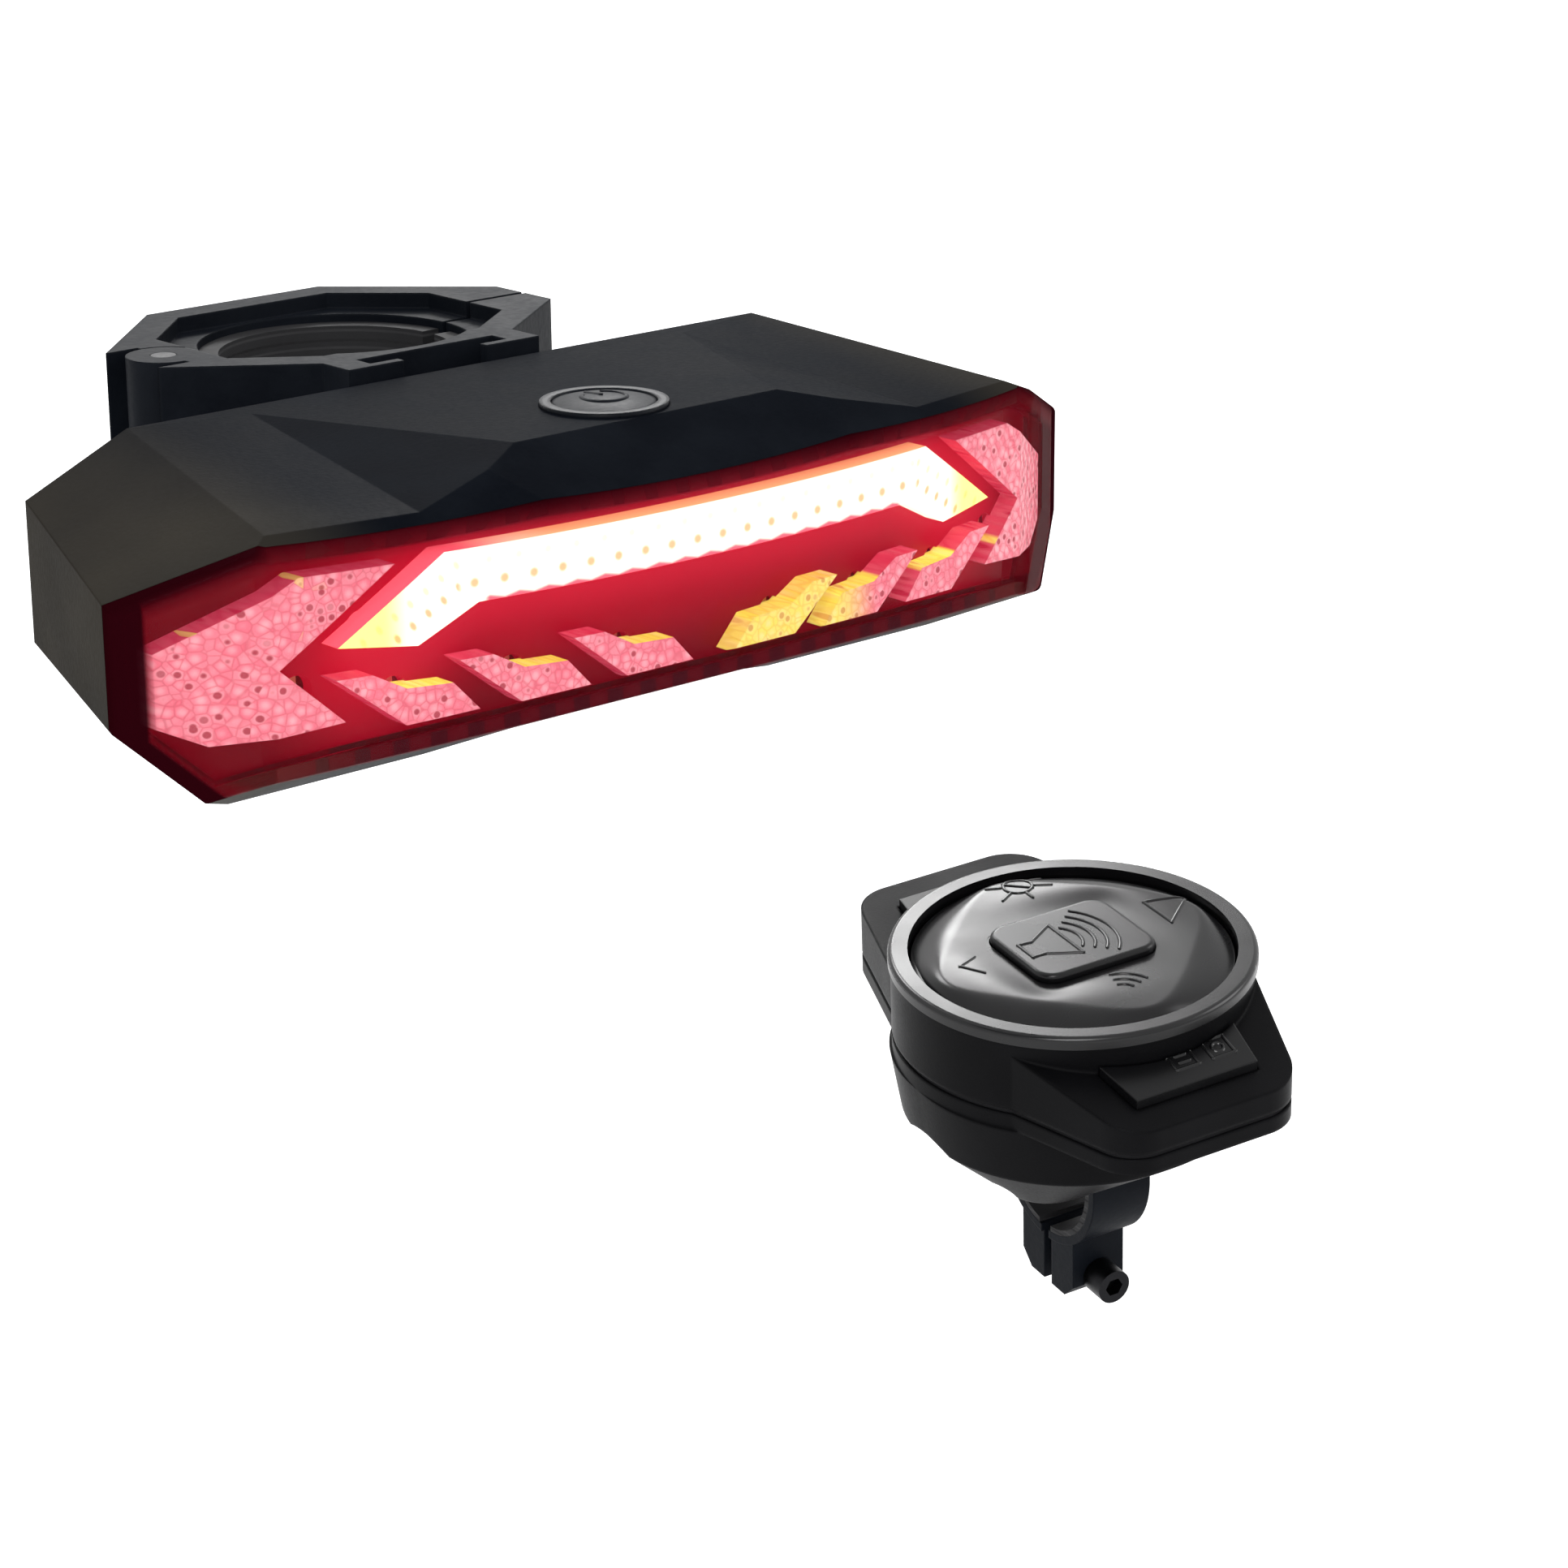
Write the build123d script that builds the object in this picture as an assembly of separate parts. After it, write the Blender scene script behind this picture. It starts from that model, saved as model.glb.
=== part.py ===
from build123d import *
from math import cos, asin, atan2, radians, degrees, sqrt
import os

# A set of two units: a tail light with turn arrows, clamped to a seat tube, and
# its wireless remote, clamped to a handlebar. Millimetres, +Z up the seat tube,
# -Y towards the rear of the bicycle. The origin is the middle of the clamp's bore.

# Clearances and overruns
OVERRUN = 1.0
FIT = 0.05
SLIP = 0.15
LOOSE = 0.3

# Tail light: outer form
LIGHT_WIDTH = 138.2
LIGHT_HEIGHT = 36.6
LIGHT_BACK = 38.5
LIGHT_BACK_WIDTH = LIGHT_WIDTH - 18.2
FRONT_WIDTH = LIGHT_WIDTH - 28.2
FRONT_BOW = 6.8
SIDE_START = 9.8
SHOULDER_FRONT_X = FRONT_WIDTH / 2 - 0.8
SHOULDER_FRONT_Y = 1.35
SHOULDER_FRONT_Z = 32.6
SHOULDER_BACK_X = FRONT_WIDTH / 2 - 8.6
SIDE_TOP_Z = 26.2
SIDE_LOW_Z = 12.5
FOOT_FRONT_X = FRONT_WIDTH / 2 - 2.2
FOOT_FRONT_Y = 12.3
SIDE_BACK_LOW_Z = 14.5
BROW_X = 20.9
BROW_Y = 2.5
BROW_TOP_Z = 36.2
BROW_END_X = FRONT_WIDTH / 2 - 18.5
BROW_END_Y = -2.1
BROW_END_Z = 32.7
BROW_FRONT_Z = 31.8
BAND_BACK_X = 33.5
CHIN_SPLIT_Z = 6.0
CHIN_BACK_Y = 13.0
CHIN_RISE_SHARE = 0.3
BELLY_RISE = 2.5
BELLY_HALF_WIDTH = 17.0
BELLY_SLOPE = 9.0
SHELL_WALL = 1.6

# Tail light: lens
LENS_PROUD = 2.5
LENS_WALL = 1.6
LENS_RIM = 1.9
LENS_ROUND = 1.2
TONGUE_WALL = 0.8
TONGUE_DEPTH = 1.6
SEAL_WIDTH = 0.6
LEDGE_WIDTH = 1.2
LEDGE_DEPTH = 2.0

# Tail light: light guides, standing in the tray's pockets
GUIDE_SINK = 0.7
GUIDE_DEPTH = 3.5
POCKET_DEPTH = 0.5
TRAY_WALL = 1.6
LAMP_HOLE = 3.4
RIB_WIDTH = 2.0
BAR_TIP_X = FRONT_WIDTH / 2 - 7.0
BAR_TIP_Z = 19.9
BAR_OUTER_X = FRONT_WIDTH / 2 - 19.6
BAR_TOP_Z = 28.6
BAR_LOW_Z = 22.5
BAR_INNER_X = FRONT_WIDTH / 2 - 23.6
ARROW_LOW_X = FRONT_WIDTH / 2 - 16.2
ARROW_LOW_Z = 18.8
TURN_NOTCH_X = FRONT_WIDTH / 2 - 0.5
TURN_NOTCH_Z = 18.4
TURN_TIP_X = FRONT_WIDTH / 2 - 13.8
TURN_TOP_Z = 28.2
TURN_KNEE_X = FRONT_WIDTH / 2 - 3.0
TURN_OUTER_X = LIGHT_WIDTH / 2 - 3.7
TURN_OUTER_TOP_Z = 20.8
TURN_OUTER_LOW_Z = 12.6
TURN_FOOT_X = LIGHT_WIDTH / 2 - 8.1
TURN_FOOT_Z = 10.5
TURN_HEEL_X = FRONT_WIDTH / 2 - 7.6
TURN_HEEL_Z = 11.7
STEP_PITCH = FRONT_WIDTH * 0.1309
STEP_COUNT = 3
STEP_START_X = FRONT_WIDTH / 2 - 6.7
STEP_TOP_Z = 16.4
STEP_LENGTH = FRONT_WIDTH * 0.1518
STEP_HEIGHT = 6.2
STEP_OUTLINE_SHARES = ((0.0, 1.0), (0.245, 1.0), (0.48, 0.66), (0.81, 0.62), (1.0, 0.06), (0.47, 0.0))

# Tail light: electronics
LAMP_BOARD_WALL = 1.0
LAMP_BOARD_GAP = 1.3
LAMP_BOARD_WIDTH = LIGHT_WIDTH - 14.2
LAMP_BOARD_LOW = 10.0
LAMP_BOARD_HIGH = 29.5
BRAKE_LAMP_PITCH = FRONT_WIDTH * 0.0545
BRAKE_LAMP_COUNT = 11
LAMP_SIZE = 2.8
LAMP_THICK = 0.8
MAIN_BOARD_WIDTH = 84.0
MAIN_BOARD_FRONT = 4.6
MAIN_BOARD_BACK = 35.6
MAIN_BOARD_Z = 25.6
BOARD_WALL = 1.6
HEADER_WIDTH = 12.0
HEADER_HEIGHT = 2.5
HEADER_OVERLAP = 2.0
CHIP_SIZE = 7.0
CHIP_THICK = 1.0
CHIP_X = 18.0
CHIP_Y = 23.0
RADIO_WIDTH = 12.0
RADIO_DEPTH = 9.0
RADIO_THICK = 2.2
RADIO_X = 30.0
CELL_RADIUS = 9.2
CELL_LENGTH = 65.0
CELL_X = 4.0
CELL_Y = 24.4
CELL_CAP = 1.0
CELL_CAP_RADIUS = 4.0
CRADLE_FLOOR = 1.4
CRADLE_END = 5.0
CRADLE_FRONT = 15.0
CRADLE_LIP_SHARE = 0.5
PEG_RADIUS = 1.0
SADDLE_WIDTH = 6.0
SADDLE_X = 20.0
SIREN_RADIUS = 6.0
SIREN_HEIGHT = 7.0
SIREN_X = -41.0
SIREN_Y = 24.0
SIREN_SLOT_WIDTH = 1.2
SIREN_SLOT_LENGTH = 7.0
SIREN_SLOT_PITCH = 3.0
SIREN_SLOT_COUNT = 3

# Tail light: button and charging port
BUTTON_Y = 11.2
BUTTON_RADIUS = 6.0
BUTTON_PROUD = 0.3
FLANGE_WIDTH = 0.8
FLANGE_WALL = 0.9
BUTTON_DOME = 0.7
BUTTON_TRAVEL = 0.8
RING_RADIUS = 7.4
RING_HEIGHT = 0.5
RING_DEPTH = 0.9
STEM_RADIUS = 1.6
BUTTON_SEAL_WALL = 0.8
BUTTON_SEAL_HEIGHT = 1.2
SWITCH_SIZE = 6.0
SWITCH_HEIGHT = 3.4
SWITCH_KEY_RADIUS = 1.7
SWITCH_KEY_HEIGHT = 0.8
PORT_X = 38.0
PORT_WIDTH = 9.0
PORT_HEIGHT = 3.2
PORT_DEPTH = 7.3
PORT_WALL = 0.4
PORT_TONGUE = 0.7
PORT_TONGUE_INSET = 1.0
PORT_INSET = 1.5
COVER_WIDTH = 17.0
COVER_HEIGHT = 8.4
COVER_WALL = 1.3
COVER_RECESS = 0.7
COVER_PLUG_DEPTH = 0.75
COVER_PLUG_HEIGHT = 2.0
COVER_AXIS_PROUD = 0.3
COVER_BARREL_RADIUS = 1.2
COVER_BARREL_LENGTH = 5.0
COVER_PIN_RADIUS = 0.6
COVER_LUG_RADIUS = 1.3
COVER_LUG_WIDTH = 1.5

# Tail light: screws and rail
HOUSING_SCREW_LOW_Z = 9.0
HOUSING_SCREW_HIGH_Z = 19.0
SMALL_SCREW_RADIUS = 1.25
SMALL_HEAD_RADIUS = 2.3
SMALL_HEAD_HEIGHT = 1.0
SMALL_SCREW_LENGTH = 9.0
DRIVE_RADIUS = 0.9
DRIVE_DEPTH = 0.6
PLATE_WIDTH = 44.0
PLATE_LOW_Z = 6.0
PLATE_HIGH_Z = 33.6
PLATE_WALL = 1.9
RAIL_STEM_WIDTH = 12.0
RAIL_STEM_DEPTH = 1.7
RAIL_HEAD_WIDTH = 20.0
RAIL_HEAD_DEPTH = 2.4
RAIL_LOW_Z = 13.0
RAIL_HIGH_Z = 33.0
RAIL_SCREW_X = 17.0
RAIL_SCREW_INSET = 5.0
RAIL_SCREW_LENGTH = 2.4

# Seat tube clamp
TUBE_RADIUS = 14.3
TUBE_FROM_LIGHT = 24.5
CLAMP_LOW_Z = 12.0
CLAMP_HIGH_Z = 38.0
BAND_HALF_WIDTH = 29.5
BAND_BACK = 21.5
BAND_FRONT = 18.0
BAND_FLAT = 13.0
BAND_SHOULDER = 5.5
PARTING = 0.8
PAD_WALL = 2.5
PAD_INSET = 1.0
PAD_END_GAP = 1.2
RIM_WIDTH = 4.3
RIM_DEPTH = 2.0
KNUCKLE_RADIUS = 4.5
PIN_RADIUS = 1.5
KNUCKLE_SHARE = 0.36
CLAMP_SCREW_X = 23.0
CLAMP_SCREW_RADIUS = 2.5
CLAMP_SCREW_SLIP = 0.4
CLAMP_HEAD_RADIUS = 4.2
CLAMP_HEAD_HEIGHT = 4.0
CLAMP_SOCKET_RADIUS = 2.2
CLAMP_SOCKET_DEPTH = 2.4
COLLAR_RADIUS = 3.6
COLLAR_WALL = 1.0
CLAMP_EAR = 8.9
NUT_WIDTH = 8.0
NUT_WALL = 4.0
NUT_SINK = 0.6
CHANNEL_WALL = 4.0
CHANNEL_FLOOR = 2.6
SPRING_WALL = 0.4
SPRING_WIDTH = 1.9
SPRING_BOW = 1.0
SPRING_LENGTH = 15.0

# Handlebar remote: place beside the light, then its own frame with the bar along X
BACKSWEEP = 12.24
REMOTE_TURN = 7.25
UPSWEEP = 5.71
REMOTE_X = 126.0
REMOTE_Y = -5.41
REMOTE_Z = -130.57
BAR_RADIUS = 11.1

# Handlebar remote: housing
CASE_RADIUS = 26.9
CASE_WALL = 1.8
DISC_TOP = 33.6
SEAM_Z = 22.6
GASKET_HEIGHT = 0.8
GASKET_INSET = 0.45
TRAY_LOW_Z = 19.3
BOWL_MIDDLE_Z = 10.0
BOWL_RADIUS = CASE_RADIUS - 1.5
BASE_LOW_Z = 3.0
BASE_LENGTH = 34.0
BASE_WIDTH = 31.0
BASE_CORNER = 7.0
POCKET_RADIUS = CASE_RADIUS - 5.4
WELL_RADIUS = CASE_RADIUS - 2.3
WELL_FLOOR_LOW = 25.6
WELL_FLOOR_HIGH = 26.8
WING_TIP_FRONT = CASE_RADIUS + 10.4
WING_TIP_BACK = CASE_RADIUS + 12.1
WING_TIP_WIDTH = 29.2
WING_ROOT_X = CASE_RADIUS * 0.803
WING_ROOT_Y = CASE_RADIUS * 0.565
WING_CORNER = 7.0
WING_SLOPE_START = CASE_RADIUS - 2.9
WING_START_TOP = 29.6
WING_FRONT_TOP = 26.2
WING_BACK_TOP = 30.0
BEZEL_RADIUS = CASE_RADIUS + 0.4
BEZEL_INNER = CASE_RADIUS - 2.6
BEZEL_HEIGHT = 1.9
BEZEL_ROUND = 0.8

# Handlebar remote: rocker pad on its pivot ring
PAD_RADIUS = CASE_RADIUS - 3.1
PAD_LOW_Z = 32.0
PAD_RIM_Z = 33.8
PAD_TOP_Z = 35.6
PAD_PLATEAU = PAD_RADIUS * 1.4706
PAD_PLATEAU_CORNER = 9.0
PAD_ROUND_SHARE = 0.96
GIMBAL_Z = 29.4
GIMBAL_INNER = 15.0
GIMBAL_OUTER = 17.5
GIMBAL_WALL = 1.4
GIMBAL_PIN_RADIUS = 0.8
GIMBAL_PIN_END = 20.6
GIMBAL_BOSS_WIDTH = 4.4
GIMBAL_BOSS_TOP = 30.6
EAR_WIDTH = 4.0
EAR_START = 18.1
EAR_END = 20.9
EAR_DROP = 1.2
POST_REACH = 12.8
POST_RADIUS = 1.2
POST_TIP_Z = 28.2

# Handlebar remote: horn key and side keys
KEY_LENGTH = 20.5
KEY_WIDTH = 17.4
KEY_CORNER = 3.2
KEY_TOP_Z = 36.9
KEY_ROUND = 0.7
KEY_SLIP = 0.2
KEY_FLANGE = 1.0
KEY_FLANGE_WALL = 0.8
KEY_STEM_RADIUS = 1.6
KEY_TRAVEL = 0.8
SIDE_KEY_INNER_HALF = 11.6
SIDE_KEY_OUTER_HALF = 10.3
SIDE_KEY_INNER = CASE_RADIUS - 2.5
SIDE_KEY_OUTER = CASE_RADIUS + 5.7
SIDE_KEY_PROUD = 1.4
SIDE_KEY_GAP = 0.2
SIDE_FLANGE = 0.7
SIDE_FLANGE_WALL = 0.8
SIDE_KEY_TRAVEL = 0.6
SIDE_STEM_Y = CASE_RADIUS + 2.5
SIDE_STEM_RADIUS = 1.2

# Handlebar remote: inside
COIN_RADIUS = 10.0
COIN_HEIGHT = 3.2
CLIP_WALL = 0.4
CLIP_WIDTH = 5.0
CIRCUIT_Z = 21.2
CIRCUIT_WALL = 1.2
CIRCUIT_INSET = 3.0
CIRCUIT_POST_RADIUS = 1.8
CIRCUIT_POST_REACH = 18.5
DOME_RADIUS = 2.6
DOME_HEIGHT = 0.6
MAT_WALL = 0.6
MAT_INSET = 3.6
NUB_RADIUS = 1.4
NUB_TIP_Z = 27.3
SIDE_NUB_TIP_Z = 24.4
CASE_SCREW_RADIUS = 1.0
CASE_HEAD_RADIUS = 1.8
CASE_HEAD_HEIGHT = 1.2
CASE_BOSS_RADIUS = 2.6
CASE_SCREW_X = 18.2
CASE_SCREW_Y = 9.5
CASE_SCREW_SEAT = 15.2
CASE_SCREW_LENGTH = 10.0

# Handlebar remote: bar clamp
BAR_PAD_WALL = 0.9
BAR_PAD_SLIT = 3.0
BAND_WALL = 1.4
BAND_LENGTH = 10.0
BAND_SCREW_X = 2.9
BAND_SCREW_LENGTH = 1.2
LUG_WIDTH = 9.0
LUG_WALL = 6.0
LUG_LOW_Z = 21.8
LUG_SLIT = 2.0
LUG_CHAMFER = 2.4
BAR_SCREW_Z = 18.2
BAR_SCREW_RADIUS = 1.5
BAR_HEAD_RADIUS = 2.7
BAR_HEAD_HEIGHT = 4.4
BAR_SOCKET_RADIUS = 1.5
BAR_SOCKET_DEPTH = 1.8
BAR_SCREW_END_GAP = 1.0
BAR_NUT_WIDTH = 5.5
BAR_NUT_WALL = 2.6


def block(x0, x1, y0, y1, z0, z1):
    """A block between two corners."""
    centre = Pos((x0 + x1) / 2, (y0 + y1) / 2, (z0 + z1) / 2)
    return centre * Box(x1 - x0, y1 - y0, z1 - z0)


def prism(points, plane, height):
    """A straight prism on an outline of points in a plane."""
    outline = make_face(Polyline(*points, close=True).edges())
    return extrude(plane * outline, amount=height, dir=plane.z_dir)


def rod(radius, start, end):
    """A round rod between two points."""
    axis = Vector(*end) - Vector(*start)
    plane = Plane(origin=start, z_dir=axis)
    return extrude(plane * Circle(radius), amount=axis.length, dir=plane.z_dir)


def group(solids):
    """Separate solids kept in one node."""
    return Compound(children=list(solids))


def socket_screw(head_radius, head_height, radius, length, drive_radius, drive_depth):
    """A screw along -Z: head above zero, shank below, with a hexagon socket."""
    screw = Cylinder(head_radius, head_height, align=(Align.CENTER, Align.CENTER, Align.MIN))
    screw += Cylinder(radius, length, align=(Align.CENTER, Align.CENTER, Align.MAX))
    top = Plane.XY.offset(head_height - drive_depth)
    return screw - extrude(top * RegularPolygon(drive_radius, 6), amount=drive_depth + OVERRUN)


def light_plan(lead):
    """The light seen from above: bowed front led forward, swept corners and tapering sides."""
    edge = FRONT_WIDTH / 2
    half = LIGHT_WIDTH / 2
    back = LIGHT_BACK_WIDTH / 2
    corner = half + lead * (half - back) / (LIGHT_BACK - SIDE_START)
    outline = ThreePointArc((-edge, -lead), (0, -FRONT_BOW - lead), (edge, -lead)).edges()
    outline += Polyline((edge, -lead), (corner, SIDE_START - lead), (back, LIGHT_BACK)).edges()
    outline += Line((back, LIGHT_BACK), (-back, LIGHT_BACK)).edges()
    outline += Polyline((-back, LIGHT_BACK), (-corner, SIDE_START - lead), (-edge, -lead)).edges()
    return make_face(outline)


def facet_points():
    """Three points on each slanted facet of the right half: the plain ones, the band and the shelf."""
    half = LIGHT_WIDTH / 2
    shoulder = (SHOULDER_FRONT_X, SHOULDER_FRONT_Y, SHOULDER_FRONT_Z)
    shoulder_back = (SHOULDER_BACK_X, LIGHT_BACK, LIGHT_HEIGHT)
    side_top = (half, SIDE_START, SIDE_TOP_Z)
    side_low = (half, SIDE_START, SIDE_LOW_Z)
    brow = (BROW_X, BROW_Y, BROW_TOP_Z)
    brow_end = (BROW_END_X, BROW_END_Y, BROW_END_Z)
    band_back = (BAND_BACK_X, LIGHT_BACK, LIGHT_HEIGHT)
    foot = (FOOT_FRONT_X, FOOT_FRONT_Y, 0)
    corner = (FRONT_WIDTH / 2, 0, BROW_FRONT_Z)
    side_back_low = (LIGHT_BACK_WIDTH / 2, LIGHT_BACK, SIDE_BACK_LOW_Z)
    plain = (
        (shoulder, side_top, shoulder_back),
        (brow_end, shoulder, corner),
        (side_low, foot, side_back_low),
    )
    return plain, (brow, brow_end, band_back), (brow_end, shoulder, shoulder_back)


def outward(points, inset):
    """The plane through three points with its normal away from the light, moved in by the inset."""
    a, b, c = (Vector(*p) for p in points)
    normal = (b - a).cross(c - a).normalized()
    middle = Vector(0, LIGHT_BACK / 2, LIGHT_HEIGHT / 2)
    if normal.dot(a - middle) < 0:
        normal = -normal
    return Plane(origin=a - normal * inset, z_dir=normal)


def mirrored_points(points):
    """Points in space mirrored across the middle."""
    return [(-x, y, z) for x, y, z in points]


def cut_facets(body, inset):
    """The body below every facet; beyond the band its top is the higher of band and shelf."""
    plain, band, shelf = facet_points()
    brow = (BROW_X, BROW_Y, BROW_TOP_Z)
    cuts = [(brow, (-BROW_X, BROW_Y, BROW_TOP_Z), (0, -FRONT_BOW, BROW_FRONT_Z))]
    for points in plain:
        cuts += [points, mirrored_points(points)]
    for points in cuts:
        body = split(body, bisect_by=outward(points, inset), keep=Keep.BOTTOM)
    for high, low in ((band, shelf), (mirrored_points(band), mirrored_points(shelf))):
        under_band = split(body, bisect_by=outward(high, inset), keep=Keep.BOTTOM)
        body = under_band + split(body, bisect_by=outward(low, inset), keep=Keep.BOTTOM)
    return body


def underside(inset):
    """What is cut from the light's underside: the chin along the front and the raised belly."""
    reach = LIGHT_BACK
    floor = -LIGHT_HEIGHT
    chin = (
        (-reach, CHIN_SPLIT_Z + inset + CHIN_RISE_SHARE * reach),
        (0, CHIN_SPLIT_Z + inset),
        (CHIN_BACK_Y, inset),
        (CHIN_BACK_Y, floor),
        (-reach, floor),
    )
    belly = (
        (-BELLY_HALF_WIDTH - BELLY_SLOPE, inset),
        (-BELLY_HALF_WIDTH, BELLY_RISE + inset),
        (BELLY_HALF_WIDTH, BELLY_RISE + inset),
        (BELLY_HALF_WIDTH + BELLY_SLOPE, inset),
        (BELLY_HALF_WIDTH + BELLY_SLOPE, floor),
        (-BELLY_HALF_WIDTH - BELLY_SLOPE, floor),
    )
    across = Plane(origin=(-LIGHT_WIDTH, 0, 0), x_dir=(0, 1, 0), z_dir=(1, 0, 0))
    along = Plane(origin=(0, LIGHT_BACK + OVERRUN, 0), x_dir=(1, 0, 0), z_dir=(0, -1, 0))
    cut = prism(chin, across, LIGHT_WIDTH * 2)
    return cut + prism(belly, along, LIGHT_BACK * 2)


def light_form(inset, lead=0.0):
    """The faceted body of the light, every face moved in by the inset, its front led forward."""
    face = light_plan(lead)
    if inset:
        face = offset(face, amount=-inset, kind=Kind.INTERSECTION)
    body = extrude(Plane.XY.offset(inset) * face, amount=LIGHT_HEIGHT - inset - inset)
    return cut_facets(body, inset) - underside(inset)


def front_layer(near, far):
    """The space between two depths behind the bowed front, wider than the light."""
    edge = FRONT_WIDTH / 2
    half = edge + (LIGHT_WIDTH / 2 - edge) * 2
    side = SIDE_START * 2
    outline = ThreePointArc((-edge, near), (0, near - FRONT_BOW), (edge, near)).edges()
    outline += Polyline((edge, near), (half, side + near), (half, side + far), (edge, far)).edges()
    outline += ThreePointArc((edge, far), (0, far - FRONT_BOW), (-edge, far)).edges()
    outline += Polyline((-edge, far), (-half, side + far), (-half, side + near), (-edge, near)).edges()
    return extrude(make_face(outline), amount=LIGHT_HEIGHT)


def front_y(x):
    """Depth of the bowed front at a distance from the middle."""
    edge = FRONT_WIDTH / 2
    radius = (edge * edge + FRONT_BOW * FRONT_BOW) / (FRONT_BOW + FRONT_BOW)
    if abs(x) > edge:
        return (abs(x) - edge) * SIDE_START / (LIGHT_WIDTH / 2 - edge)
    return radius - FRONT_BOW - sqrt(radius * radius - x * x)


def front_angle(x):
    """Turn of the bowed front at a distance from the middle, in degrees."""
    edge = FRONT_WIDTH / 2
    radius = (edge * edge + FRONT_BOW * FRONT_BOW) / (FRONT_BOW + FRONT_BOW)
    if abs(x) > edge:
        swept = degrees(atan2(SIDE_START, LIGHT_WIDTH / 2 - edge))
        return swept if x > 0 else -swept
    return degrees(asin(x / radius))


def mirrored(points):
    """An outline mirrored across the middle."""
    return tuple((-x, z) for x, z in points)


BAR_OUTLINE = (
    (BAR_TIP_X, BAR_TIP_Z),
    (BAR_OUTER_X, BAR_TOP_Z),
    (-BAR_OUTER_X, BAR_TOP_Z),
    (-BAR_TIP_X, BAR_TIP_Z),
    (-ARROW_LOW_X, ARROW_LOW_Z),
    (-BAR_INNER_X, BAR_LOW_Z),
    (BAR_INNER_X, BAR_LOW_Z),
    (ARROW_LOW_X, ARROW_LOW_Z),
)
TURN_OUTLINE = (
    (TURN_NOTCH_X, TURN_NOTCH_Z),
    (TURN_TIP_X, TURN_TOP_Z),
    (TURN_KNEE_X, TURN_TOP_Z),
    (TURN_OUTER_X, TURN_OUTER_TOP_Z),
    (TURN_OUTER_X, TURN_OUTER_LOW_Z),
    (TURN_FOOT_X, TURN_FOOT_Z),
    (TURN_HEEL_X, TURN_HEEL_Z),
)


def step_outlines():
    """The three small chevrons of the right half, from the outermost inwards."""
    outlines = []
    for step in range(STEP_COUNT):
        start = STEP_START_X - step * STEP_PITCH
        points = []
        for across, up in STEP_OUTLINE_SHARES:
            points.append((start - across * STEP_LENGTH, STEP_TOP_Z - STEP_HEIGHT + up * STEP_HEIGHT))
        outlines.append(tuple(points))
    return outlines


def front_prism(outline):
    """A prism along Y on an outline seen from the front."""
    plane = Plane(origin=(0, LIGHT_BACK, 0), x_dir=(1, 0, 0), z_dir=(0, -1, 0))
    return prism(outline, plane, LIGHT_BACK * 2)


def guide(outline, near, far):
    """A guide or pocket on an outline between two depths behind the bowed front."""
    return front_prism(outline) & front_layer(near, far)


def button_hole(radius, low, high):
    """A round space on the button's axis."""
    return rod(radius, (0, BUTTON_Y, low), (0, BUTTON_Y, high))


def rail_screw_places():
    """Where the rail plate is screwed to the light."""
    places = []
    for x in (-RAIL_SCREW_X, RAIL_SCREW_X):
        for z in (PLATE_LOW_Z + RAIL_SCREW_INSET, PLATE_HIGH_Z - RAIL_SCREW_INSET):
            places.append((x, LIGHT_BACK + PLATE_WALL - SMALL_HEAD_HEIGHT, z))
    return places


def housing_screw_places():
    """Where the cradle is screwed to the back wall."""
    left, right = cradle_ends()
    places = []
    for x in ((left[0] + left[1]) / 2, (right[0] + right[1]) / 2):
        for z in (HOUSING_SCREW_LOW_Z, HOUSING_SCREW_HIGH_Z):
            places.append((x, LIGHT_BACK - SMALL_HEAD_HEIGHT, z))
    return places


def cradle_ends():
    """The two end walls of the battery cradle along X."""
    half = CELL_LENGTH / 2 + CELL_CAP + FIT
    left = (CELL_X - half - CRADLE_END, CELL_X - half)
    right = (CELL_X + half, CELL_X + half + CRADLE_END)
    return left, right


def cradle_low():
    """Height of the cradle's underside, on the raised belly."""
    return BELLY_RISE + SHELL_WALL + FIT


def cell_height():
    """Height of the battery's axis."""
    return cradle_low() + CRADLE_FLOOR + CELL_RADIUS + FIT


def port_height():
    """Height of the charging port's middle."""
    return MAIN_BOARD_Z + BOARD_WALL + PORT_HEIGHT / 2


def cover_axis():
    """The charging cover's hinge line, above the cover."""
    return LIGHT_BACK + COVER_AXIS_PROUD, port_height() + COVER_HEIGHT / 2


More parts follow.
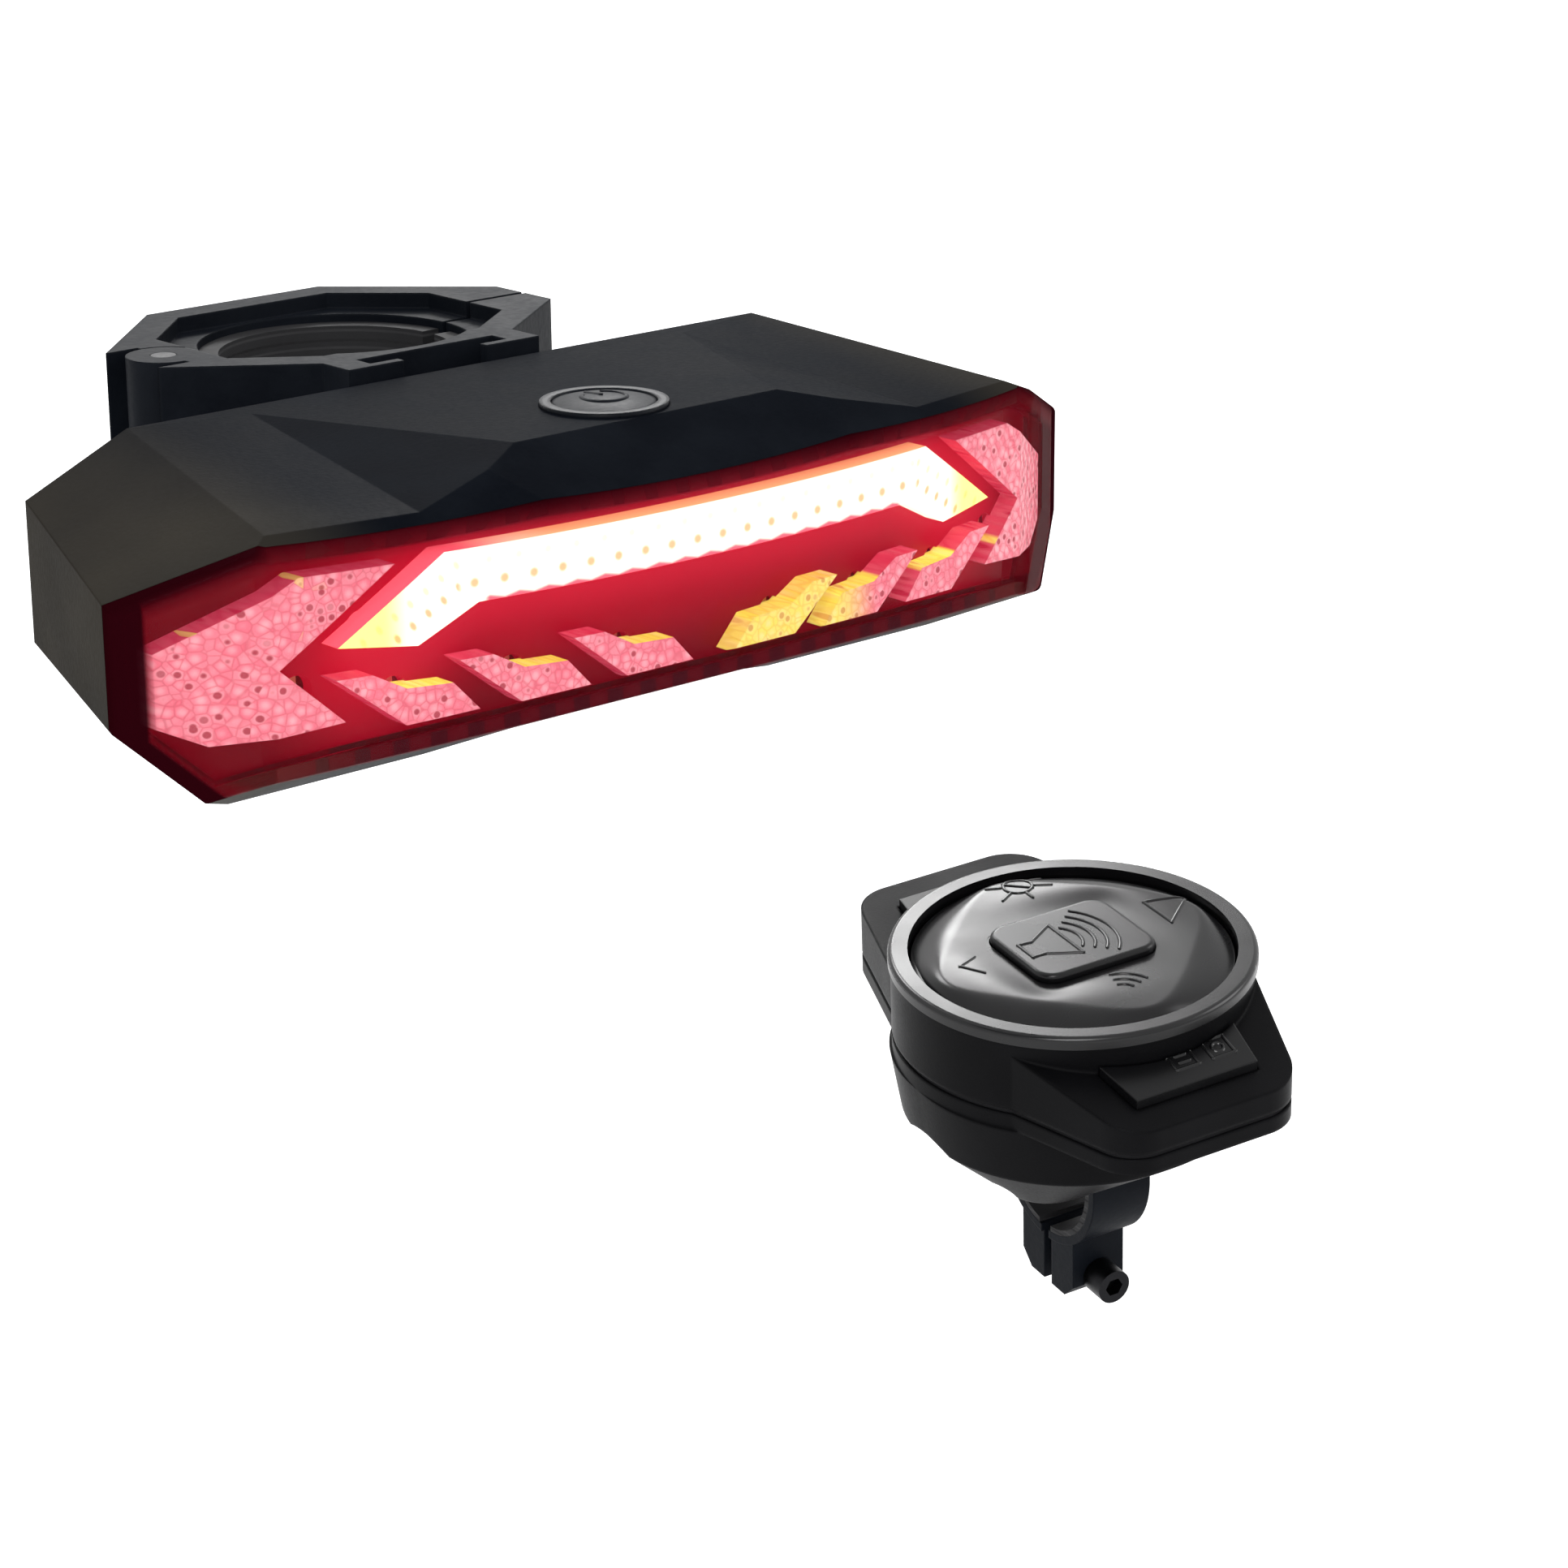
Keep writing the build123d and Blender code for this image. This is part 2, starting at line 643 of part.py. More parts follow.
def make_light():
    """The tail light, its lens towards -Y and its underside at zero height."""
    parts = {}
    tray_front = GUIDE_DEPTH - GUIDE_SINK - POCKET_DEPTH
    tray_back = tray_front + TRAY_WALL
    ledge = tray_back + FIT
    board_front = tray_back + LAMP_BOARD_GAP
    board_back = board_front + LAMP_BOARD_WALL
    open_front = LIGHT_BACK
    inner = light_form(SHELL_WALL, open_front)

    shell = light_form(0) - inner
    shell += (inner - light_form(SHELL_WALL + LEDGE_WIDTH, open_front)) & front_layer(
        ledge, ledge + LEDGE_DEPTH
    )
    shell -= button_hole(RING_RADIUS + FIT, LIGHT_HEIGHT - RING_DEPTH, LIGHT_HEIGHT + OVERRUN)
    shell -= button_hole(BUTTON_RADIUS + SLIP, LIGHT_HEIGHT - SHELL_WALL - OVERRUN, LIGHT_HEIGHT)
    for slot in range(SIREN_SLOT_COUNT):
        x = SIREN_X + (slot - (SIREN_SLOT_COUNT - 1) / 2) * SIREN_SLOT_PITCH
        half = SIREN_SLOT_WIDTH / 2
        reach = SIREN_SLOT_LENGTH / 2
        shell -= block(x - half, x + half, SIREN_Y - reach, SIREN_Y + reach, -OVERRUN, SHELL_WALL + OVERRUN)
    for place in rail_screw_places() + housing_screw_places():
        x, y, z = place
        shell -= rod(
            SMALL_SCREW_RADIUS + FIT, (x, LIGHT_BACK - SHELL_WALL - OVERRUN, z), (x, LIGHT_BACK + OVERRUN, z)
        )
    for place in housing_screw_places():
        x, y, z = place
        shell -= rod(SMALL_HEAD_RADIUS + FIT, place, (x, LIGHT_BACK + OVERRUN, z))
    port_z = port_height()
    port_left = PORT_X - PORT_WIDTH / 2
    port_right = PORT_X + PORT_WIDTH / 2
    port_end = LIGHT_BACK - PORT_INSET
    shell -= block(
        port_left - SLIP,
        port_right + SLIP,
        LIGHT_BACK - SHELL_WALL - OVERRUN,
        LIGHT_BACK + OVERRUN,
        port_z - PORT_HEIGHT / 2 - SLIP,
        port_z + PORT_HEIGHT / 2 + SLIP,
    )
    cover_left = PORT_X - COVER_WIDTH / 2
    cover_right = PORT_X + COVER_WIDTH / 2
    shell -= block(
        cover_left - LOOSE,
        cover_right + LOOSE,
        LIGHT_BACK - COVER_RECESS,
        LIGHT_BACK + OVERRUN,
        port_z - COVER_HEIGHT / 2 - LOOSE,
        port_z + COVER_HEIGHT / 2 + COVER_BARREL_RADIUS + LOOSE,
    )
    axis_y, axis_z = cover_axis()
    half = COVER_BARREL_LENGTH / 2 + SLIP
    shell -= rod(
        COVER_BARREL_RADIUS + LOOSE, (PORT_X - half, axis_y, axis_z), (PORT_X + half, axis_y, axis_z)
    )
    for start in (PORT_X - half - COVER_LUG_WIDTH, PORT_X + half):
        end = start + COVER_LUG_WIDTH
        lug = rod(COVER_LUG_RADIUS, (start, axis_y, axis_z), (end, axis_y, axis_z))
        lug += block(
            start,
            end,
            LIGHT_BACK - COVER_RECESS - FIT,
            axis_y,
            axis_z - COVER_LUG_RADIUS,
            axis_z + COVER_LUG_RADIUS,
        )
        shell += lug - rod(COVER_PIN_RADIUS + FIT, (start, axis_y, axis_z), (end, axis_y, axis_z))
    parts["housing_shell"] = shell

    lens = front_layer(-LENS_PROUD, 0) & light_form(0, open_front)
    rounded = []
    for edge in lens.edges():
        middle = edge.center()
        on_front = abs(middle.Y - front_y(middle.X) + LENS_PROUD) < FIT
        across = abs(abs(middle.X) - FRONT_WIDTH / 2) > FIT or edge.tangent_at(0.5).Z ** 2 < 1 / 2
        if on_front and across:
            rounded.append(edge)
    lens = fillet(rounded, LENS_ROUND)
    lens -= front_layer(LENS_WALL - LENS_PROUD, OVERRUN) & light_form(LENS_RIM, open_front)
    tongue_outer = SHELL_WALL + SLIP
    tongue_inner = tongue_outer + TONGUE_WALL
    tongue = light_form(tongue_outer, open_front) - light_form(tongue_inner, open_front)
    parts["red_lens"] = lens + (tongue & front_layer(LENS_WALL - LENS_PROUD, TONGUE_DEPTH))

    seal = light_form(tongue_outer, open_front) - light_form(tongue_outer + SEAL_WIDTH, open_front)
    parts["lens_seal"] = seal & front_layer(TONGUE_DEPTH, tray_front)

    tray = light_form(tongue_outer, open_front) & front_layer(tray_front, tray_back)
    steps = step_outlines()
    outlines = [BAR_OUTLINE, TURN_OUTLINE, mirrored(TURN_OUTLINE)]
    for outline in steps:
        outlines += [outline, mirrored(outline)]
    for outline in outlines:
        tray -= guide(outline, tray_front - OVERRUN, tray_front + POCKET_DEPTH)
    brake_places, turn_places = lamp_places()
    for x, z in brake_places + turn_places:
        tray -= rod(LAMP_HOLE / 2, (x, front_y(x), z), (x, front_y(x) + board_back, z))
    for x in (-LAMP_BOARD_WIDTH / 2 + RIB_WIDTH, -BAR_TIP_X, BAR_TIP_X, LAMP_BOARD_WIDTH / 2 - RIB_WIDTH):
        rib = block(
            x - RIB_WIDTH / 2, x + RIB_WIDTH / 2, -LIGHT_BACK, LIGHT_BACK, LAMP_BOARD_LOW, TURN_OUTER_LOW_Z
        )
        tray += rib & front_layer(tray_back - FIT, board_front)
    parts["reflector_tray"] = tray

    far = GUIDE_DEPTH - GUIDE_SINK
    parts["brake_light_bar"] = guide(BAR_OUTLINE, -GUIDE_SINK, far)
    parts["right_turn_chevron"] = guide(TURN_OUTLINE, -GUIDE_SINK, far)
    parts["left_turn_chevron"] = guide(mirrored(TURN_OUTLINE), -GUIDE_SINK, far)
    clear = light_form(tongue_inner + SLIP, open_front)
    right_steps = [(guide(o, -GUIDE_SINK, far) & clear).solid() for o in steps]
    left_steps = [(guide(mirrored(o), -GUIDE_SINK, far) & clear).solid() for o in steps]
    parts["right_small_chevrons"] = group(right_steps)
    parts["left_small_chevrons"] = group(left_steps)

    half = LAMP_BOARD_WIDTH / 2
    sheet = block(-half, half, -LIGHT_BACK, LIGHT_BACK, LAMP_BOARD_LOW, LAMP_BOARD_HIGH)
    sheet &= light_form(SHELL_WALL + LEDGE_WIDTH + SLIP, open_front)
    parts["lamp_board"] = sheet & front_layer(board_front, board_back)
    parts["brake_leds"] = group([lamp(x, z, board_front) for x, z in brake_places])
    parts["turn_leds"] = group([lamp(x, z, board_front) for x, z in turn_places])

    board_top = MAIN_BOARD_Z + BOARD_WALL
    half = MAIN_BOARD_WIDTH / 2
    board = block(-half, half, MAIN_BOARD_FRONT, MAIN_BOARD_BACK, MAIN_BOARD_Z, board_top)
    left, right = cradle_ends()
    pegs = [((left[0] + left[1]) / 2, CELL_Y), ((right[0] + right[1]) / 2, CELL_Y)]
    for x, y in pegs:
        board -= rod(PEG_RADIUS + SLIP, (x, y, MAIN_BOARD_Z - OVERRUN), (x, y, board_top + OVERRUN))
    parts["main_board"] = board
    header = block(
        -HEADER_WIDTH / 2,
        HEADER_WIDTH / 2,
        -LIGHT_BACK,
        MAIN_BOARD_FRONT + HEADER_OVERLAP,
        board_top,
        board_top + HEADER_HEIGHT,
    )
    parts["board_header"] = header & front_layer(board_back, LIGHT_BACK)
    chip_half = CHIP_SIZE / 2
    chip = block(
        CHIP_X - chip_half,
        CHIP_X + chip_half,
        CHIP_Y - chip_half,
        CHIP_Y + chip_half,
        board_top,
        board_top + CHIP_THICK,
    )
    radio = block(
        -RADIO_X - RADIO_WIDTH / 2,
        -RADIO_X + RADIO_WIDTH / 2,
        CHIP_Y - RADIO_DEPTH / 2,
        CHIP_Y + RADIO_DEPTH / 2,
        board_top,
        board_top + RADIO_THICK,
    )
    parts["control_chip"] = chip
    parts["radio_receiver"] = radio

    cell_z = cell_height()
    cell_end = CELL_LENGTH / 2
    cell = rod(CELL_RADIUS, (CELL_X - cell_end, CELL_Y, cell_z), (CELL_X + cell_end, CELL_Y, cell_z))
    cell += rod(CELL_CAP_RADIUS, (CELL_X, CELL_Y, cell_z), (CELL_X + cell_end + CELL_CAP, CELL_Y, cell_z))
    parts["battery_cell"] = cell

    low = cradle_low()
    back = LIGHT_BACK - SHELL_WALL - FIT
    cradle = block(left[0], right[1], CRADLE_FRONT, back, low, low + CRADLE_FLOOR)
    for start, end in (left, right):
        cradle += block(start, end, CRADLE_FRONT, back, low, MAIN_BOARD_Z)
    for x in (CELL_X - SADDLE_X, CELL_X + SADDLE_X):
        high = low + CRADLE_FLOOR + CELL_RADIUS * CRADLE_LIP_SHARE
        cradle += block(x - SADDLE_WIDTH / 2, x + SADDLE_WIDTH / 2, CRADLE_FRONT, back, low, high)
    cradle -= rod(CELL_RADIUS + FIT, (left[1], CELL_Y, cell_z), (right[0], CELL_Y, cell_z))
    for x, y in pegs:
        cradle += rod(PEG_RADIUS, (x, y, MAIN_BOARD_Z - OVERRUN), (x, y, board_top))
    for x, y, z in housing_screw_places():
        cradle -= rod(SMALL_SCREW_RADIUS + FIT, (x, y - SMALL_SCREW_LENGTH - FIT, z), (x, LIGHT_BACK, z))
    parts["battery_cradle"] = cradle

    floor = SHELL_WALL
    siren = rod(SIREN_RADIUS, (SIREN_X, SIREN_Y, floor), (SIREN_X, SIREN_Y, floor + SIREN_HEIGHT))
    parts["alarm_siren"] = siren

    parts["button_ring"] = button_hole(RING_RADIUS, LIGHT_HEIGHT - RING_DEPTH, LIGHT_HEIGHT + RING_HEIGHT)
    parts["button_ring"] -= button_hole(BUTTON_RADIUS + SLIP, 0, LIGHT_HEIGHT + OVERRUN)
    parts["power_button"] = make_power_button(board_top)
    under = LIGHT_HEIGHT - SHELL_WALL
    flange = BUTTON_RADIUS + FLANGE_WIDTH + SLIP
    parts["button_seal"] = button_hole(flange + BUTTON_SEAL_WALL, under - BUTTON_SEAL_HEIGHT, under)
    parts["button_seal"] = (parts["button_seal"] - button_hole(flange, 0, LIGHT_HEIGHT)) & inner
    half = SWITCH_SIZE / 2
    switch = block(-half, half, BUTTON_Y - half, BUTTON_Y + half, board_top, board_top + SWITCH_HEIGHT)
    switch += button_hole(SWITCH_KEY_RADIUS, board_top, board_top + SWITCH_HEIGHT + SWITCH_KEY_HEIGHT)
    parts["power_switch"] = switch

    port = block(
        port_left,
        port_right,
        port_end - PORT_DEPTH,
        port_end,
        port_z - PORT_HEIGHT / 2,
        port_z + PORT_HEIGHT / 2,
    )
    port -= block(
        port_left + PORT_WALL,
        port_right - PORT_WALL,
        port_end - PORT_DEPTH + PORT_WALL,
        port_end + OVERRUN,
        port_z - PORT_HEIGHT / 2 + PORT_WALL,
        port_z + PORT_HEIGHT / 2 - PORT_WALL,
    )
    port += block(
        PORT_X - PORT_WIDTH / 4,
        PORT_X + PORT_WIDTH / 4,
        port_end - PORT_DEPTH,
        port_end - PORT_TONGUE_INSET,
        port_z - PORT_TONGUE / 2,
        port_z + PORT_TONGUE / 2,
    )
    parts["charging_socket"] = port
    parts["socket_cover"] = make_socket_cover(port_z)

    screws = []
    for place in housing_screw_places():
        screws.append(Pos(*place) * Rot(X=-90) * small_screw(SMALL_SCREW_LENGTH))
    parts["housing_screws"] = group(screws)

    plate_half = PLATE_WIDTH / 2
    plate_back = LIGHT_BACK + PLATE_WALL
    stem_back = plate_back + RAIL_STEM_DEPTH
    plate = block(-plate_half, plate_half, LIGHT_BACK, plate_back, PLATE_LOW_Z, PLATE_HIGH_Z)
    plate += block(-RAIL_STEM_WIDTH / 2, RAIL_STEM_WIDTH / 2, LIGHT_BACK, stem_back, RAIL_LOW_Z, RAIL_HIGH_Z)
    plate += block(
        -RAIL_HEAD_WIDTH / 2,
        RAIL_HEAD_WIDTH / 2,
        stem_back,
        stem_back + RAIL_HEAD_DEPTH,
        RAIL_LOW_Z,
        RAIL_HIGH_Z,
    )
    rail_screws = []
    for x, y, z in rail_screw_places():
        plate -= rod(SMALL_SCREW_RADIUS + FIT, (x, LIGHT_BACK - OVERRUN, z), (x, plate_back, z))
        plate -= rod(SMALL_HEAD_RADIUS + FIT, (x, y, z), (x, plate_back + OVERRUN, z))
        rail_screws.append(Pos(x, y, z) * Rot(X=-90) * small_screw(RAIL_SCREW_LENGTH))
    parts["rail_plate"] = plate
    parts["rail_screws"] = group(rail_screws)
    return parts


def small_screw(length):
    """One of the light's small screws, head up."""
    return socket_screw(
        SMALL_HEAD_RADIUS, SMALL_HEAD_HEIGHT, SMALL_SCREW_RADIUS, length, DRIVE_RADIUS, DRIVE_DEPTH
    )


def lamp_places():
    """Where the brake and turn lamps sit on their board, seen from the front."""
    brake = []
    bar_z = (BAR_TOP_Z + BAR_LOW_Z) / 2
    for lamp_index in range(BRAKE_LAMP_COUNT):
        brake.append(((lamp_index - (BRAKE_LAMP_COUNT - 1) / 2) * BRAKE_LAMP_PITCH, bar_z))
    arrow_x = (BAR_TIP_X + ARROW_LOW_X) / 2
    arrow_z = (BAR_TIP_Z + BAR_LOW_Z) / 2
    brake += [(-arrow_x, arrow_z), (arrow_x, arrow_z)]
    turn = []
    upper = ((TURN_KNEE_X + TURN_NOTCH_X) / 2, (TURN_TOP_Z + TURN_NOTCH_Z) / 2)
    middle = ((TURN_NOTCH_X + TURN_OUTER_X) / 2, (TURN_OUTER_TOP_Z + TURN_OUTER_LOW_Z) / 2)
    lower = ((TURN_NOTCH_X + TURN_HEEL_X) / 2, (TURN_HEEL_Z + TURN_NOTCH_Z) / 2)
    for x, z in (upper, middle, lower):
        turn += [(x, z), (-x, z)]
    for step in range(STEP_COUNT):
        x = STEP_START_X - step * STEP_PITCH - STEP_LENGTH / 2
        z = STEP_TOP_Z - STEP_HEIGHT / 2
        turn += [(x, z), (-x, z)]
    return brake, turn


def lamp(x, z, depth):
    """A lamp lying flat on its board, turned with the bow."""
    body = Box(LAMP_SIZE, LAMP_THICK, LAMP_SIZE, align=(Align.CENTER, Align.MAX, Align.CENTER))
    return Pos(x, front_y(x) + depth, z) * Rot(Z=front_angle(x)) * body


def make_power_button(board_top):
    """The domed cap with its flange below the wall and its stem down to the switch."""
    under = LIGHT_HEIGHT - SHELL_WALL - FIT
    top = LIGHT_HEIGHT + BUTTON_PROUD
    bulge = (BUTTON_RADIUS * BUTTON_RADIUS + BUTTON_DOME * BUTTON_DOME) / (BUTTON_DOME + BUTTON_DOME)
    cap = button_hole(BUTTON_RADIUS, under - FLANGE_WALL, top + BUTTON_DOME)
    cap &= Pos(0, BUTTON_Y, top + BUTTON_DOME - bulge) * Sphere(bulge)
    cap += button_hole(BUTTON_RADIUS + FLANGE_WIDTH, under - FLANGE_WALL, under)
    stem_end = board_top + SWITCH_HEIGHT + SWITCH_KEY_HEIGHT + BUTTON_TRAVEL + FIT
    return cap + button_hole(STEM_RADIUS, stem_end, under)


def make_socket_cover(port_z):
    """The charging port's cover: flap, shallow plug, barrel and its two pin ends."""
    axis_y, axis_z = cover_axis()
    inner = LIGHT_BACK - COVER_RECESS + FIT
    half = COVER_WIDTH / 2
    top = axis_z - COVER_LUG_RADIUS - LOOSE
    cover = block(PORT_X - half, PORT_X + half, inner, inner + COVER_WALL, port_z - COVER_HEIGHT / 2, top)
    reach = PORT_WIDTH / 2 - PORT_WALL
    rise = COVER_PLUG_HEIGHT / 2
    cover += block(
        PORT_X - reach, PORT_X + reach, inner - COVER_PLUG_DEPTH, inner, port_z - rise, port_z + rise
    )
    half = COVER_BARREL_LENGTH / 2
    cover += block(PORT_X - half, PORT_X + half, inner, inner + COVER_WALL, top, axis_z)
    cover += rod(COVER_BARREL_RADIUS, (PORT_X - half, axis_y, axis_z), (PORT_X + half, axis_y, axis_z))
    reach = half + SLIP + COVER_LUG_WIDTH
    cover += rod(COVER_PIN_RADIUS, (PORT_X - reach, axis_y, axis_z), (PORT_X + reach, axis_y, axis_z))
    return cover


def band_outline():
    """The clamp band seen from above, round the tube's axis."""
    half = BAND_HALF_WIDTH
    return (
        (-BAND_FLAT, BAND_BACK),
        (BAND_FLAT, BAND_BACK),
        (half, BAND_SHOULDER),
        (half, -BAND_SHOULDER),
        (BAND_FLAT, -BAND_FRONT),
        (-BAND_FLAT, -BAND_FRONT),
        (-half, -BAND_SHOULDER),
        (-half, BAND_SHOULDER),
    )


def half_jaw(side, knuckles, gaps):
    """One half of the clamp band: side 1 swings, side -1 is fixed to the light's rail."""
    height = CLAMP_HIGH_Z - CLAMP_LOW_Z
    base = Plane.XY.offset(CLAMP_LOW_Z)
    jaw = prism(band_outline(), base, height)
    rim = offset(
        make_face(Polyline(*band_outline(), close=True).edges()), amount=-RIM_WIDTH, kind=Kind.INTERSECTION
    )
    dish = extrude(Plane.XY.offset(CLAMP_HIGH_Z - RIM_DEPTH) * rim, amount=RIM_DEPTH + OVERRUN)
    ear = BAND_HALF_WIDTH - CLAMP_EAR
    dish &= block(-ear, ear, -BAND_BACK, BAND_BACK, CLAMP_LOW_Z, CLAMP_HIGH_Z + OVERRUN)
    jaw -= dish
    reach = BAND_HALF_WIDTH + OVERRUN
    cut = side * PARTING / 2
    far = -side * (BAND_BACK + OVERRUN)
    jaw -= block(-reach, reach, min(cut, far), max(cut, far), CLAMP_LOW_Z - OVERRUN, CLAMP_HIGH_Z + OVERRUN)
    jaw -= rod(TUBE_RADIUS + PAD_WALL, (0, 0, CLAMP_LOW_Z - OVERRUN), (0, 0, CLAMP_HIGH_Z + OVERRUN))
    hinge = KNUCKLE_RADIUS - BAND_HALF_WIDTH
    jaw -= block(-reach, hinge, -BAND_SHOULDER, BAND_SHOULDER, CLAMP_LOW_Z - OVERRUN, CLAMP_HIGH_Z + OVERRUN)
    for low, high in gaps:
        jaw -= rod(KNUCKLE_RADIUS + LOOSE, (hinge, 0, low), (hinge, 0, high))
    for low, high in knuckles:
        jaw += rod(KNUCKLE_RADIUS, (hinge, 0, low), (hinge, 0, high))
    return jaw - rod(PIN_RADIUS + FIT, (hinge, 0, CLAMP_LOW_Z - OVERRUN), (hinge, 0, CLAMP_HIGH_Z + OVERRUN))


def clamp_pad(side):
    """The rubber pad inside one half of the clamp band."""
    low = CLAMP_LOW_Z + PAD_INSET
    high = CLAMP_HIGH_Z - PAD_INSET - RIM_DEPTH
    pad = rod(TUBE_RADIUS + PAD_WALL, (0, 0, low), (0, 0, high))
    pad -= rod(TUBE_RADIUS, (0, 0, low - OVERRUN), (0, 0, high + OVERRUN))
    reach = TUBE_RADIUS + PAD_WALL + OVERRUN
    cut = side * PAD_END_GAP
    far = -side * reach
    return pad - block(-reach, reach, min(cut, far), max(cut, far), low - OVERRUN, high + OVERRUN)


def make_clamp():
    """The seat tube clamp round the tube's axis, at the light's height."""
    parts = {}
    height = CLAMP_HIGH_Z - CLAMP_LOW_Z
    middle = (CLAMP_LOW_Z + CLAMP_HIGH_Z) / 2
    low_joint = CLAMP_LOW_Z + KNUCKLE_SHARE * height
    high_joint = CLAMP_HIGH_Z - KNUCKLE_SHARE * height
    fixed_knuckles = ((CLAMP_LOW_Z, low_joint), (high_joint, CLAMP_HIGH_Z))
    swing_knuckles = ((low_joint + LOOSE, high_joint - LOOSE),)
    fixed_gaps = ((low_joint, high_joint),)
    swing_gaps = ((CLAMP_LOW_Z - OVERRUN, low_joint + LOOSE), (high_joint - LOOSE, CLAMP_HIGH_Z + OVERRUN))
    fixed = half_jaw(-1, fixed_knuckles, fixed_gaps)
    swing = half_jaw(1, swing_knuckles, swing_gaps)

    plate_back = PLATE_WALL - TUBE_FROM_LIGHT
    head_front = plate_back + RAIL_STEM_DEPTH
    head_back = head_front + RAIL_HEAD_DEPTH
    stem = RAIL_STEM_WIDTH / 2 + SLIP
    head = RAIL_HEAD_WIDTH / 2 + SLIP
    wide = head + CHANNEL_WALL
    floor = RAIL_LOW_Z - LOOSE
    channel = block(
        -wide, wide, plate_back + LOOSE, head_back + LOOSE + OVERRUN, floor - CHANNEL_FLOOR, CLAMP_HIGH_Z
    )
    channel += fixed
    channel -= block(-stem, stem, plate_back, head_front, floor, CLAMP_HIGH_Z + OVERRUN)
    channel -= block(-head, head, head_front - SLIP, head_back + LOOSE, floor, CLAMP_HIGH_Z + OVERRUN)
    spring_low = (RAIL_LOW_Z + RAIL_HIGH_Z) / 2 - SPRING_LENGTH / 2
    spring_high = spring_low + SPRING_LENGTH
    spring_mid = (head_front + head_back) / 2
    spring_deep = head - SLIP + FIT + SPRING_BOW + SPRING_WALL
    half = SPRING_WIDTH / 2
    channel -= block(
        0,
        spring_deep,
        spring_mid - half - SLIP,
        spring_mid + half + SLIP,
        spring_low - SLIP,
        spring_high + SLIP,
    )

    nut_face = -PARTING / 2 - NUT_SINK
    nut_back = nut_face - NUT_WALL
    tip = nut_back - NUT_SINK / 2
    screw_x = CLAMP_SCREW_X
    hole = CLAMP_SCREW_RADIUS + CLAMP_SCREW_SLIP
    half = NUT_WIDTH / 2
    channel -= rod(hole, (screw_x, tip - LOOSE, middle), (screw_x, 0, middle))
    channel -= block(screw_x - half, screw_x + half, nut_back, nut_face, middle - half, middle + half)
    parts["bracket_body"] = channel
    nut = block(screw_x - half, screw_x + half, nut_back, nut_face, middle - half, middle + half)
    parts["clamp_nut"] = nut - rod(
        hole, (screw_x, nut_back - OVERRUN, middle), (screw_x, nut_face + OVERRUN, middle)
    )

    seat = CLAMP_EAR
    swing -= rod(CLAMP_SCREW_RADIUS + FIT, (screw_x, 0, middle), (screw_x, BAND_BACK + OVERRUN, middle))
    swing -= rod(CLAMP_HEAD_RADIUS + SLIP, (screw_x, seat, middle), (screw_x, BAND_BACK + OVERRUN, middle))
    collar_front = PARTING / 2 + SLIP
    collar_back = collar_front + COLLAR_WALL
    swing -= rod(COLLAR_RADIUS + SLIP, (screw_x, 0, middle), (screw_x, collar_back + SLIP, middle))
    parts["clamp_jaw"] = swing
    shank = seat + FIT - tip
    screw = socket_screw(
        CLAMP_HEAD_RADIUS,
        CLAMP_HEAD_HEIGHT,
        CLAMP_SCREW_RADIUS,
        shank,
        CLAMP_SOCKET_RADIUS,
        CLAMP_SOCKET_DEPTH,
    )
    screw = Pos(screw_x, seat + FIT, middle) * Rot(X=-90) * screw
    parts["clamp_screw"] = screw + rod(
        COLLAR_RADIUS, (screw_x, collar_front, middle), (screw_x, collar_back, middle)
    )

    hinge = KNUCKLE_RADIUS - BAND_HALF_WIDTH
    parts["jaw_hinge_pin"] = rod(PIN_RADIUS, (hinge, 0, CLAMP_LOW_Z), (hinge, 0, CLAMP_HIGH_Z))
    parts["fixed_jaw_pad"] = clamp_pad(-1)
    parts["swing_jaw_pad"] = clamp_pad(1)

    near = head - SLIP + FIT
    deep = near + SPRING_BOW
    bow = (
        (deep, spring_low),
        (near, (spring_low + spring_high) / 2),
        (deep, spring_high),
        (deep + SPRING_WALL, spring_high),
        (near + SPRING_WALL, (spring_low + spring_high) / 2),
        (deep + SPRING_WALL, spring_low),
    )
    across = Plane(origin=(0, spring_mid + SPRING_WIDTH / 2, 0), x_dir=(1, 0, 0), z_dir=(0, -1, 0))
    parts["rail_spring"] = prism(bow, across, SPRING_WIDTH)
    return parts


def wing_outline(tip, inset):
    """One wing of the remote seen from above, pointing towards -Y."""
    half = WING_TIP_WIDTH / 2 - inset
    root = WING_ROOT_X - inset
    points = (
        (-root, 0),
        (-root, -WING_ROOT_Y),
        (-half, inset - tip),
        (half, inset - tip),
        (root, -WING_ROOT_Y),
        (root, 0),
    )
    face = make_face(Polyline(*points, close=True).edges())
    return fillet(face.vertices().sort_by(Axis.Y)[:2], WING_CORNER - inset)


def case_outline(inset):
    """The whole remote seen from above: disc and two wings."""
    back = Rot(Z=180) * wing_outline(WING_TIP_BACK, inset)
    return Circle(CASE_RADIUS - inset) + wing_outline(WING_TIP_FRONT, inset) + back


def wing_top(tip, height, sink):
    """The sloping plane on top of the front wing, moved down by the sink."""
    run = tip - WING_SLOPE_START
    fall = WING_START_TOP - height
    normal = Vector(0, -fall, run)
    return Plane(origin=(0, -tip, height - sink), x_dir=(1, 0, 0), z_dir=normal)


def wing_block(tip, height, inset, sink):
    """The solid of one wing from the seam to its sloping top."""
    solid = extrude(Plane.XY.offset(SEAM_Z) * wing_outline(tip, inset), amount=DISC_TOP - SEAM_Z)
    return split(solid, bisect_by=wing_top(tip, height, sink), keep=Keep.BOTTOM)


